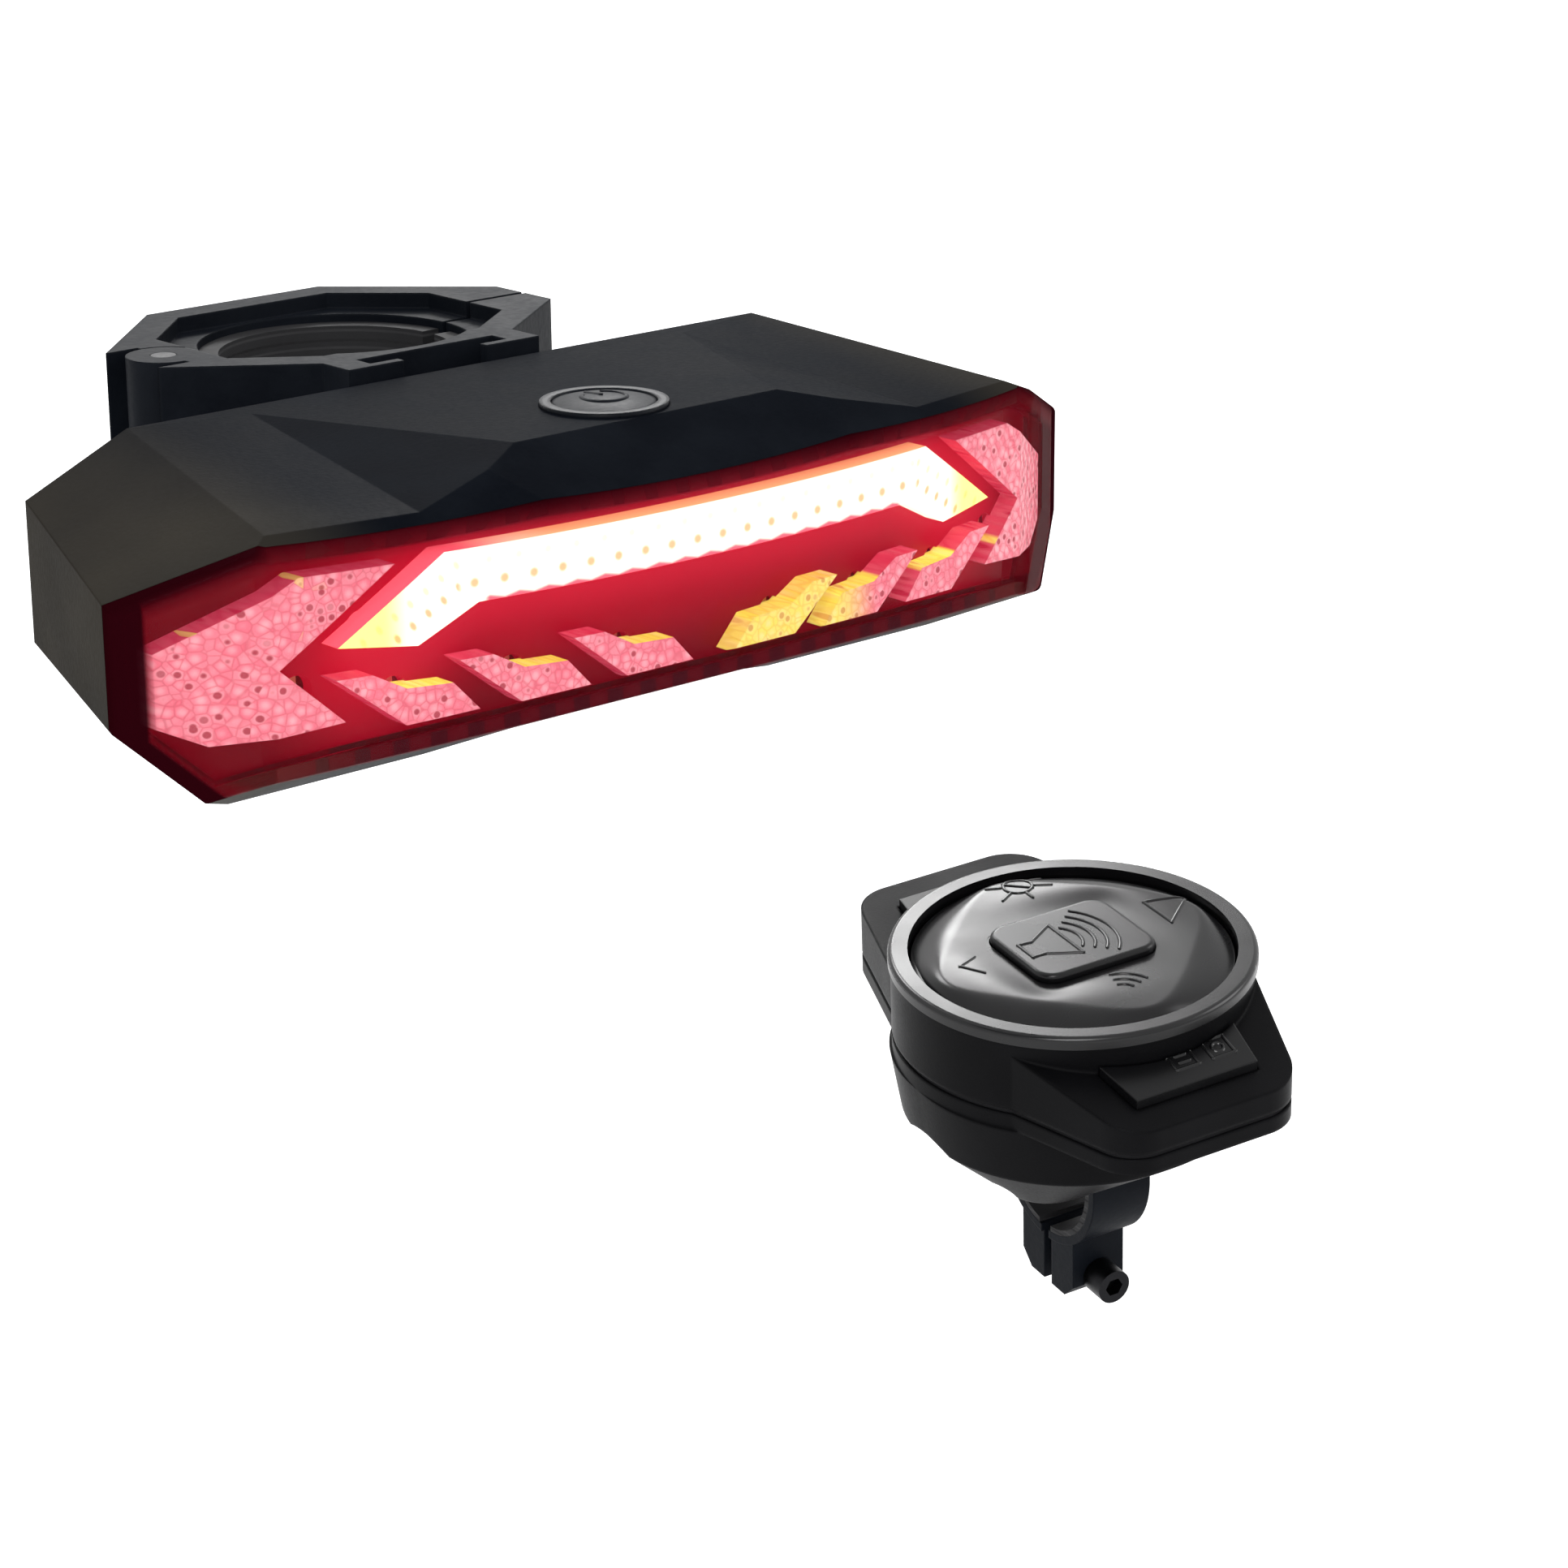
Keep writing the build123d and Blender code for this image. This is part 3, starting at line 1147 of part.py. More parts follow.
def upright(radius, x, y, low, high):
    """A round upright piece."""
    return rod(radius, (x, y, low), (x, y, high))


def side_key_outline(grow):
    """The side key seen from above, before the disc is cut away from it."""
    inner = SIDE_KEY_INNER_HALF + grow
    outer = SIDE_KEY_OUTER_HALF + grow
    return (
        (-inner, -SIDE_KEY_INNER),
        (-outer, -SIDE_KEY_OUTER - grow),
        (outer, -SIDE_KEY_OUTER - grow),
        (inner, -SIDE_KEY_INNER),
    )


def side_key_layer(tip, height, grow, disc, low, high):
    """The side key's outline between two depths under the wing's sloping top."""
    solid = prism(side_key_outline(grow), Plane.XY.offset(SEAM_Z), DISC_TOP + SIDE_KEY_PROUD)
    solid = split(solid, bisect_by=wing_top(tip, height, high), keep=Keep.BOTTOM)
    solid = split(solid, bisect_by=wing_top(tip, height, low), keep=Keep.TOP)
    return solid - upright(disc, 0, 0, 0, DISC_TOP * 2)


def make_side_key(tip, height):
    """A side key with its flange under the wing's wall and its stem, on the front wing."""
    under = CASE_WALL + FIT
    key = side_key_layer(tip, height, 0, BEZEL_RADIUS, under + SIDE_FLANGE_WALL, -SIDE_KEY_PROUD)
    key += side_key_layer(tip, height, SIDE_FLANGE, CASE_RADIUS + SLIP, under + SIDE_FLANGE_WALL, under)
    top = (WING_START_TOP + height) / 2
    stem = upright(SIDE_STEM_RADIUS, 0, -SIDE_STEM_Y, SIDE_NUB_TIP_Z + SIDE_KEY_TRAVEL + FIT, top)
    return key + split(stem, bisect_by=wing_top(tip, height, under), keep=Keep.BOTTOM)


def case_screw_places():
    """The four screws that close the remote."""
    places = []
    for x in (-CASE_SCREW_X, CASE_SCREW_X):
        for y in (-CASE_SCREW_Y, CASE_SCREW_Y):
            places.append((x, y))
    return places


def tilt_places():
    """The four pressing points of the rocker pad."""
    return ((POST_REACH, 0), (0, POST_REACH), (-POST_REACH, 0), (0, -POST_REACH))


def make_remote():
    """The handlebar remote, its bar along X and its keys upwards."""
    parts = {}
    bar_seat = BAR_RADIUS + BAR_PAD_WALL
    band_outer = bar_seat + BAND_WALL
    half_band = BAND_LENGTH / 2
    rim = SEAM_Z - GASKET_HEIGHT
    floor = band_outer + FIT + CASE_WALL
    reach = WING_TIP_BACK * 2

    base = extrude(Plane.XY.offset(TRAY_LOW_Z) * case_outline(0), amount=rim - TRAY_LOW_Z)
    top = Plane.XY.offset(TRAY_LOW_Z) * RectangleRounded(
        CASE_RADIUS * 2, CASE_RADIUS * 2, CASE_RADIUS * PAD_ROUND_SHARE
    )
    bowl = RectangleRounded(BOWL_RADIUS * 2, BOWL_RADIUS * 2, BOWL_RADIUS * PAD_ROUND_SHARE)
    low = Plane.XY.offset(BASE_LOW_Z) * RectangleRounded(BASE_LENGTH, BASE_WIDTH, BASE_CORNER)
    base += loft([top, Plane.XY.offset(BOWL_MIDDLE_Z) * bowl, low], ruled=True)
    base -= upright(POCKET_RADIUS, 0, 0, floor, SEAM_Z)
    base -= extrude(Plane.XY.offset(TRAY_LOW_Z + CASE_WALL) * case_outline(CASE_WALL), amount=SEAM_Z)
    base -= rod(BAR_RADIUS + LOOSE, (-reach, 0, 0), (reach, 0, 0))
    base -= rod(band_outer + FIT, (-half_band - FIT, 0, 0), (half_band + FIT, 0, 0))
    for x, y in post_places():
        base += upright(CIRCUIT_POST_RADIUS, x, y, floor - FIT, CIRCUIT_Z)
    for x, y in case_screw_places():
        base += upright(CASE_BOSS_RADIUS, x, y, CASE_SCREW_SEAT, rim)
        base -= upright(CASE_HEAD_RADIUS + SLIP, x, y, 0, CASE_SCREW_SEAT)
        base -= upright(CASE_SCREW_RADIUS + FIT, x, y, 0, SEAM_Z)
    for x in (-BAND_SCREW_X, BAND_SCREW_X):
        base -= upright(CASE_SCREW_RADIUS + FIT, x, 0, bar_seat, bar_seat + BAND_WALL + BAND_SCREW_LENGTH)
    parts["remote_base"] = base

    gasket = case_outline(GASKET_INSET) - case_outline(CASE_WALL)
    parts["remote_gasket"] = extrude(Plane.XY.offset(rim) * gasket, amount=GASKET_HEIGHT)

    shell = upright(CASE_RADIUS, 0, 0, SEAM_Z, DISC_TOP)
    shell += wing_block(WING_TIP_FRONT, WING_FRONT_TOP, 0, 0)
    shell += Rot(Z=180) * wing_block(WING_TIP_BACK, WING_BACK_TOP, 0, 0)
    hollow = wing_block(WING_TIP_FRONT, WING_FRONT_TOP, CASE_WALL, CASE_WALL)
    hollow += Rot(Z=180) * wing_block(WING_TIP_BACK, WING_BACK_TOP, CASE_WALL, CASE_WALL)
    hollow -= upright(CASE_RADIUS, 0, 0, WELL_FLOOR_LOW, DISC_TOP)
    hollow += upright(CASE_RADIUS - CASE_WALL, 0, 0, SEAM_Z - OVERRUN, WELL_FLOOR_LOW)
    shell -= hollow
    shell -= upright(WELL_RADIUS, 0, 0, WELL_FLOOR_HIGH, DISC_TOP + OVERRUN)
    for x, y in tilt_places() + ((0, 0),):
        shell -= upright(NUB_RADIUS + LOOSE, x, y, 0, DISC_TOP)
    for turn in (0, 180):
        boss = block(
            GIMBAL_OUTER + LOOSE,
            GIMBAL_PIN_END + LOOSE * 2,
            -GIMBAL_BOSS_WIDTH / 2,
            GIMBAL_BOSS_WIDTH / 2,
            WELL_FLOOR_HIGH,
            GIMBAL_BOSS_TOP,
        )
        boss -= rod(GIMBAL_PIN_RADIUS + FIT, (0, 0, GIMBAL_Z), (GIMBAL_PIN_END + LOOSE, 0, GIMBAL_Z))
        shell += Rot(Z=turn) * boss
    for turn, tip, height in ((0, WING_TIP_FRONT, WING_FRONT_TOP), (180, WING_TIP_BACK, WING_BACK_TOP)):
        opening = side_key_layer(tip, height, SIDE_KEY_GAP, CASE_RADIUS, CASE_WALL + OVERRUN, -OVERRUN)
        shell -= Rot(Z=turn) * opening
    for x, y in case_screw_places():
        shell += upright(CASE_BOSS_RADIUS, x, y, rim, WELL_FLOOR_LOW)
        shell -= upright(CASE_SCREW_RADIUS + FIT, x, y, 0, CASE_SCREW_SEAT + CASE_SCREW_LENGTH + FIT)
    parts["remote_top_shell"] = shell

    bezel = upright(BEZEL_RADIUS, 0, 0, DISC_TOP, DISC_TOP + BEZEL_HEIGHT)
    bezel = fillet(bezel.edges().group_by(Axis.Z)[-1], BEZEL_ROUND)
    parts["bezel_ring"] = bezel - upright(BEZEL_INNER, 0, 0, 0, DISC_TOP * 2)

    parts.update(make_rocker())
    front_key = make_side_key(WING_TIP_FRONT, WING_FRONT_TOP)
    back_key = make_side_key(WING_TIP_BACK, WING_BACK_TOP)
    parts["front_side_key"] = front_key
    parts["back_side_key"] = Rot(Z=180) * back_key

    board = extrude(Plane.XY.offset(CIRCUIT_Z) * case_outline(CIRCUIT_INSET), amount=CIRCUIT_WALL)
    for x, y in case_screw_places():
        board -= upright(CASE_BOSS_RADIUS + LOOSE, x, y, 0, SEAM_Z)
    parts["remote_board"] = board
    board_top = CIRCUIT_Z + CIRCUIT_WALL
    dome_top = board_top + DOME_HEIGHT
    side_places = ((0, -SIDE_STEM_Y), (0, SIDE_STEM_Y))
    inner_places = tilt_places() + ((0, 0),)
    parts["dome_switches"] = group(
        [upright(DOME_RADIUS, x, y, board_top, dome_top) for x, y in inner_places + side_places]
    )
    mat = extrude(Plane.XY.offset(dome_top) * case_outline(MAT_INSET), amount=MAT_WALL)
    for x, y in case_screw_places():
        mat -= upright(CASE_BOSS_RADIUS + LOOSE, x, y, 0, DISC_TOP)
    for x, y in inner_places:
        mat += upright(NUB_RADIUS, x, y, dome_top, NUB_TIP_Z)
    for x, y in side_places:
        mat += upright(NUB_RADIUS, x, y, dome_top, SIDE_NUB_TIP_Z)
    parts["key_mat"] = mat

    coin_low = floor + CLIP_WALL
    parts["coin_cell"] = upright(COIN_RADIUS, 0, 0, coin_low, coin_low + COIN_HEIGHT)
    clip_reach = COIN_RADIUS + FIT + CLIP_WALL
    half = CLIP_WIDTH / 2
    clip = block(-clip_reach, clip_reach, -half, half, floor, CIRCUIT_Z)
    clip -= block(CLIP_WALL - clip_reach, clip_reach - CLIP_WALL, -half, half, coin_low, CIRCUIT_Z)
    parts["battery_clip"] = clip

    screws = []
    for x, y in case_screw_places():
        screw = socket_screw(
            CASE_HEAD_RADIUS,
            CASE_HEAD_HEIGHT,
            CASE_SCREW_RADIUS,
            CASE_SCREW_LENGTH,
            DRIVE_RADIUS,
            DRIVE_DEPTH,
        )
        screws.append(Pos(x, y, CASE_SCREW_SEAT) * Rot(X=180) * screw)
    parts["remote_screws"] = group(screws)

    parts.update(make_bar_clamp(bar_seat, band_outer, half_band))
    return parts


def post_places():
    """The four posts under the remote's board."""
    reach = CIRCUIT_POST_REACH * cos(radians(45))
    return ((reach, reach), (reach, -reach), (-reach, reach), (-reach, -reach))


def make_rocker():
    """The rocker pad, the ring that it tilts on and the horn key in its middle."""
    parts = {}
    half = GIMBAL_WALL / 2
    ring = upright(GIMBAL_OUTER, 0, 0, GIMBAL_Z - half, GIMBAL_Z + half)
    ring += rod(GIMBAL_PIN_RADIUS, (-GIMBAL_PIN_END, 0, GIMBAL_Z), (GIMBAL_PIN_END, 0, GIMBAL_Z))
    ring += rod(GIMBAL_PIN_RADIUS, (0, -GIMBAL_PIN_END, GIMBAL_Z), (0, GIMBAL_PIN_END, GIMBAL_Z))
    parts["rocker_pivot"] = ring - upright(GIMBAL_INNER, 0, 0, 0, DISC_TOP)

    pad = upright(PAD_RADIUS, 0, 0, PAD_LOW_Z, PAD_RIM_Z)
    side = PAD_RADIUS * 2
    lower = Rot(Z=45) * RectangleRounded(side, side, PAD_RADIUS * PAD_ROUND_SHARE)
    upper = Rot(Z=45) * RectangleRounded(PAD_PLATEAU, PAD_PLATEAU, PAD_PLATEAU_CORNER)
    crown = loft([Plane.XY.offset(PAD_RIM_Z) * lower, Plane.XY.offset(PAD_TOP_Z) * upper], ruled=True)
    pad += crown & upright(PAD_RADIUS, 0, 0, PAD_LOW_Z, PAD_TOP_Z)
    hole = RectangleRounded(KEY_LENGTH + KEY_SLIP * 2, KEY_WIDTH + KEY_SLIP * 2, KEY_CORNER + KEY_SLIP)
    pad -= extrude(hole, amount=PAD_TOP_Z + OVERRUN)
    for turn in (0, 180):
        ear = block(-EAR_WIDTH / 2, EAR_WIDTH / 2, EAR_START, EAR_END, GIMBAL_Z - EAR_DROP, PAD_LOW_Z)
        ear -= rod(GIMBAL_PIN_RADIUS + FIT, (0, 0, GIMBAL_Z), (0, GIMBAL_PIN_END + LOOSE, GIMBAL_Z))
        pad += Rot(Z=turn) * ear
    for x, y in tilt_places():
        pad += upright(POST_RADIUS, x, y, POST_TIP_Z, PAD_LOW_Z)
    parts["rocker_pad"] = pad

    flange_top = PAD_LOW_Z - LOOSE
    flange_low = flange_top - KEY_FLANGE_WALL
    body = Plane.XY.offset(flange_low) * RectangleRounded(KEY_LENGTH, KEY_WIDTH, KEY_CORNER)
    key = extrude(body, amount=KEY_TOP_Z - flange_low)
    key = fillet(key.edges().group_by(Axis.Z)[-1], KEY_ROUND)
    wide = RectangleRounded(KEY_LENGTH + KEY_FLANGE * 2, KEY_WIDTH + KEY_FLANGE * 2, KEY_CORNER + KEY_FLANGE)
    key += extrude(Plane.XY.offset(flange_low) * wide, amount=KEY_FLANGE_WALL)
    parts["horn_key"] = key + upright(KEY_STEM_RADIUS, 0, 0, NUB_TIP_Z + KEY_TRAVEL + LOOSE, flange_low)
    return parts


def make_bar_clamp(bar_seat, band_outer, half_band):
    """The split band round the bar, its lining, screw and nut."""
    parts = {}
    half = LUG_WIDTH / 2
    slit = LUG_SLIT / 2
    outer = slit + LUG_WALL
    band = rod(band_outer, (-half_band, 0, 0), (half_band, 0, 0))
    lug = (
        (-outer, 0),
        (-outer, LUG_CHAMFER - LUG_LOW_Z),
        (LUG_CHAMFER - outer, -LUG_LOW_Z),
        (outer - LUG_CHAMFER, -LUG_LOW_Z),
        (outer, LUG_CHAMFER - LUG_LOW_Z),
        (outer, 0),
    )
    band += prism(lug, Plane(origin=(-half, 0, 0), x_dir=(0, 1, 0), z_dir=(1, 0, 0)), LUG_WIDTH)
    band -= rod(bar_seat, (-half_band - OVERRUN, 0, 0), (half_band + OVERRUN, 0, 0))
    band -= block(-half_band - OVERRUN, half_band + OVERRUN, -slit, slit, -LUG_LOW_Z - OVERRUN, 0)
    screw_z = -BAR_SCREW_Z
    nut_end = outer - BAR_SCREW_END_GAP / 2
    nut_face = nut_end - BAR_NUT_WALL
    nut_half = BAR_NUT_WIDTH / 2
    band -= rod(BAR_SCREW_RADIUS + FIT, (0, -outer - OVERRUN, screw_z), (0, outer + OVERRUN, screw_z))
    band -= block(-nut_half, nut_half, nut_face, outer + OVERRUN, screw_z - nut_half, screw_z + nut_half)
    for x in (-BAND_SCREW_X, BAND_SCREW_X):
        band -= upright(CASE_SCREW_RADIUS + FIT, x, 0, 0, band_outer + OVERRUN)
        band -= upright(CASE_HEAD_RADIUS + FIT, x, 0, 0, bar_seat + BAND_WALL / 2)
    parts["bar_clamp_band"] = band

    pad = rod(bar_seat, (-half_band, 0, 0), (half_band, 0, 0))
    pad -= rod(BAR_RADIUS, (-half_band - OVERRUN, 0, 0), (half_band + OVERRUN, 0, 0))
    slit = BAR_PAD_SLIT / 2
    pad -= block(-half_band - OVERRUN, half_band + OVERRUN, -slit, slit, -bar_seat - OVERRUN, 0)
    parts["bar_pad"] = pad

    length = nut_end + outer
    screw = socket_screw(
        BAR_HEAD_RADIUS, BAR_HEAD_HEIGHT, BAR_SCREW_RADIUS, length, BAR_SOCKET_RADIUS, BAR_SOCKET_DEPTH
    )
    parts["bar_clamp_screw"] = Pos(0, -outer - FIT, screw_z) * Rot(X=90) * screw
    nut = block(-nut_half, nut_half, nut_face, nut_end, screw_z - nut_half, screw_z + nut_half)
    parts["bar_clamp_nut"] = nut - rod(BAR_SCREW_RADIUS + FIT, (0, 0, screw_z), (0, outer + OVERRUN, screw_z))
    screws = []
    seat = bar_seat + BAND_WALL / 2
    for x in (-BAND_SCREW_X, BAND_SCREW_X):
        screw = upright(CASE_SCREW_RADIUS, x, 0, seat, bar_seat + BAND_WALL + BAND_SCREW_LENGTH)
        screws.append(screw + upright(CASE_HEAD_RADIUS, x, 0, bar_seat, seat))
    parts["band_screws"] = group(screws)
    return parts


def write(parts, place):
    """Put each part in its place and write it as one file."""
    for name, solid in parts.items():
        export_step(place * solid, os.path.join("parts", name + ".step"))


os.makedirs("parts", exist_ok=True)
light_place = Pos(0, -LIGHT_BACK - TUBE_FROM_LIGHT, -(CLAMP_LOW_Z + CLAMP_HIGH_Z) / 2)
clamp_place = Pos(0, 0, -(CLAMP_LOW_Z + CLAMP_HIGH_Z) / 2)
remote_place = Pos(REMOTE_X, REMOTE_Y, REMOTE_Z) * Rot(Z=-BACKSWEEP) * Rot(X=REMOTE_TURN) * Rot(Y=-UPSWEEP)
write(make_light(), light_place)
write(make_clamp(), clamp_place)
write(make_remote(), remote_place)
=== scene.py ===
import bmesh
import bpy
import numpy as np
from mathutils import Matrix, Vector


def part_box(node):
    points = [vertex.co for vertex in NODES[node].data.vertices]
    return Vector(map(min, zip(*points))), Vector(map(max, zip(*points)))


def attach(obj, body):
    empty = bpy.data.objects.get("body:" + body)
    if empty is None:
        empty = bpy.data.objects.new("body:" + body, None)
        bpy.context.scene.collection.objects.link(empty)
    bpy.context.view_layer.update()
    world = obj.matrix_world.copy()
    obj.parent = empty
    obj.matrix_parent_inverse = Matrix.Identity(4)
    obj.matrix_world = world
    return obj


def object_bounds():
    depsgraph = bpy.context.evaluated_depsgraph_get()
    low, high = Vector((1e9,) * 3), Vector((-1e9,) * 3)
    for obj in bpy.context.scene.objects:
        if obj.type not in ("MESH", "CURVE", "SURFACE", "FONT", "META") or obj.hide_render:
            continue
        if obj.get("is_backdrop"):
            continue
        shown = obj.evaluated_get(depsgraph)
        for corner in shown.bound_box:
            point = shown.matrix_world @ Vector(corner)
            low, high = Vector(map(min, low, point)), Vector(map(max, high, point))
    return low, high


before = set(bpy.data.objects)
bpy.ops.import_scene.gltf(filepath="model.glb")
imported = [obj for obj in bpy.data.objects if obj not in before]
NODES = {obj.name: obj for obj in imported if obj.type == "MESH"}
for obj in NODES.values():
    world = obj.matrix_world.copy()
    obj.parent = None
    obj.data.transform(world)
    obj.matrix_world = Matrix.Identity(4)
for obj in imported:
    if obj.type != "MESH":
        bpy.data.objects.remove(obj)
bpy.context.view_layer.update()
MM = 0.001

bl_info = {
    "name": "Bicycle turn signal light",
    "version": (1, 0, 0),
    "blender": (4, 5, 0),
    "location": "View3D > Sidebar > Turn light",
    "description": "Finishes, moulded marks and studio for the tail light and its handlebar remote",
    "category": "Object",
}

# The light's own frame has x across, the lens towards -y and z = 0 at the underside.
LIGHT_CENTRE = Vector((0, -63, -25)) * MM
# The remote's own frame has x along the handlebar and z out of the top.
REMOTE_CENTRE = Vector((126.0, -5.41, -130.57)) * MM
REMOTE_TURN = (
    Matrix.Rotation(np.radians(-12.24), 3, "Z")
    @ Matrix.Rotation(np.radians(7.25), 3, "X")
    @ Matrix.Rotation(np.radians(-5.71), 3, "Y")
)
# The camera: azimuth, elevation and roll in degrees, its place in mm, its focal length and
# sensor width in mm, and the nearest distance it sees in metres.
CAMERA_ANGLES = (-41.70, 17.85, -0.46)
CAMERA_PLACE = (-297.28, -415.68, 117.17)
CAMERA_LENS, CAMERA_SENSOR, CAMERA_NEAR = 96.71, 36, 0.01
# Each soft light: its place and what it points at in metres, its width in metres, and its watts.
SOFT_LIGHTS = {
    "key_light": ((-0.9, -0.9, 1.1), (0, 0, -0.05), 0.8, 14),
    "fill_light": ((1.3, -0.8, 0.7), (0.05, 0, -0.08), 0.9, 6),
    "window_light": ((0.80, 0.88, 0.66), (0.12, 0, -0.1), 0.3, 3.6),
    "back_light": ((0.35, 1.2, 1.0), (0.08, 0, -0.08), 0.5, 6),
}
# The floor: how far it reaches and how far it lies below the part in metres, its two tones,
# and its glow as matte surfaces get it and as the camera sees it.
FLOOR_REACH, FLOOR_DROP = 8.0, 0.012
FLOOR_PALE, FLOOR_SPECK = (0.93, 0.93, 0.935), (0.90, 0.90, 0.905)
FLOOR_GLOW, FLOOR_SEEN = (0.3, 0.3, 0.3), (0.6, 0.6, 0.6)
# The strength of the white surroundings as matte surfaces get it. What the camera sees, also
# in glossy and through clear surfaces, has a strength of 1.
SKY_DIM = 0.45
# The brake bar's middle line in mm: level this far each side at this height, then out and down.
BAR_LEVEL, BAR_HEIGHT = 33.4, 25.5
BAR_OUT, BAR_DOWN = 10.1, 6.2
BAR_END = (BAR_OUT**2 + BAR_DOWN**2) ** 0.5
# Far to the side of every row of dots, so that their count never passes zero.
ROW_SHIFT = 400
# The rocker pad's skin in mm: half its level square, half the horn key's opening, its rim's
# radius, its level, how far the bays fall and swell, and how far its edges turn down.
SKIN_SQUARE, SKIN_OPENING, SKIN_RIM = 17.4, (10.6, 9.05), 23.7
SKIN_LEVEL, SKIN_FALL, SKIN_SWELL, SKIN_EDGE = 35.66, 1.78, 0.16, 0.6
SKIN_TURNS, SKIN_STEPS = 192, 40
# The heights in mm of the planes on which the remote's marks are drawn, before they settle.
PAD_LEVEL, HORN_LEVEL, KEY_LEVEL = 35.6, 36.9, 31.0
# The power sign in mm: its arc's centre, radius, first and last angle in degrees and number of
# points, and the two ends of its stroke.
POWER_ARC = ((0.0, 0.0), 2.6, -235, 55, 40)
POWER_STROKE = ((0.0, 0.6), (0.0, 3.3))
# A ridge's columns from side to side, their share of its height, and its sink into the piece
# below it in metres.
RIDGE_ACROSS = np.linspace(-1, 1, 9)
RIDGE_PROFILE = np.sqrt(np.maximum(1 - RIDGE_ACROSS**2, 0))
RIDGE_SINK = 0.02 * MM


def colour(description, name, value):
    """A colour setting of a property group."""
    return bpy.props.FloatVectorProperty(
        name=name, description=description, default=value, size=3, min=0, max=1, subtype="COLOR"
    )


def millimetres(description, name, value):
    """A size setting of a property group, kept in metres and shown in mm."""
    return bpy.props.FloatProperty(
        name=name, description=description, default=value * MM, min=0, unit="LENGTH", precision=5
    )


class LampColours(bpy.types.PropertyGroup):
    """Colours of the light."""

    housing: colour("Moulded housing", "Housing", (0.0035, 0.0045, 0.007))
    housing_pale: colour("Paler parts of the housing's grain", "Housing, pale", (0.008, 0.010, 0.014))
    # Painted sheen: the olive grey of the housing's ends stands in for the light their end facets reflect,
    # it is not a colour of the plastic.
    housing_end_sheen: colour("Housing's olive grey ends", "Housing, ends", (0.034, 0.030, 0.024))
    cover: colour("Clear red cover", "Cover", (0.30, 0.004, 0.014))
    # Painted glow: glow and tray colour the tray's base and emission, brightest near the brake bar,
    # standing in for the bar's light falling on the tray.
    glow: colour("Red glow round the brake bar", "Glow", (0.66, 0.006, 0.030))
    # Painted glow: the cover is lit near the brake bar, standing in for the bar's light spreading through
    # it.
    painted_haze: colour("Glow in the cover near the brake bar", "Haze", (0.9, 0.07, 0.13))
    tray: colour("Reflector tray away from the bar", "Tray", (0.17, 0.003, 0.008))
    rim: colour("Rim of the cover, against the housing", "Rim", (0.020, 0.001, 0.003))
    bar: colour("Lit brake bar", "Brake bar", (1.0, 0.97, 0.80))
    bar_wall: colour("Upper wall of the brake bar", "Brake bar wall", (1.0, 0.46, 0.20))
    bar_dots: colour("Dots of the brake bar", "Brake bar dots", (0.50, 0.30, 0.07))
    bar_fringe: colour("Red fringe of the brake bar", "Brake bar fringe", (0.85, 0.10, 0.14))
    chevron: colour("Turn chevrons", "Chevrons", (0.88, 0.20, 0.27))
    chevron_pale: colour("Pale facets of the chevrons", "Chevrons, pale", (1.0, 0.50, 0.55))
    chevron_dark: colour("Dark pits of the chevrons", "Chevrons, pits", (0.30, 0.008, 0.03))
    chevron_wall: colour("Upper and lower walls of the chevrons", "Chevrons, walls", (0.50, 0.012, 0.06))
    spark: colour("Amber light in the chevrons", "Amber", (0.90, 0.90, 0.10))
    spark_pale: colour("Pale facets of the amber light", "Amber, pale", (1.0, 0.93, 0.42))
    spark_dark: colour("Dark pits of the amber light", "Amber, pits", (0.62, 0.30, 0.03))


class RemoteColours(bpy.types.PropertyGroup):
    """Colours of the remote and the fittings."""

    case: colour("Remote's case", "Case", (0.003, 0.003, 0.0035))
    pad: colour("Rocker pad and keys", "Pad", (0.004, 0.004, 0.0045))
    rubber: colour("Rubber pads and seals", "Rubber", (0.010, 0.010, 0.011))
    steel: colour("Screws, nuts and springs", "Steel", (0.50, 0.50, 0.52))
    black_steel: colour("Blackened screws and pin", "Black steel", (0.018, 0.018, 0.020))
    board: colour("Circuit boards", "Boards", (0.010, 0.115, 0.045))
    tracks: colour("Tracks on the circuit boards", "Tracks", (0.02, 0.22, 0.08))


class DetailSizes(bpy.types.PropertyGroup):
    """Sizes of the fine details."""

    edge: millimetres("Softness of moulded edges", "Edge radius", 0.35)
    mark_width: millimetres("Width of the moulded marks", "Mark width", 0.62)
    mark_height: millimetres("Height of the moulded marks", "Mark height", 0.22)
    dot_pitch: millimetres("Spacing of the dots in the brake bar", "Dot spacing", 3.7)
    cell: millimetres("Size of the dimples in the chevrons", "Dimple size", 1.15)


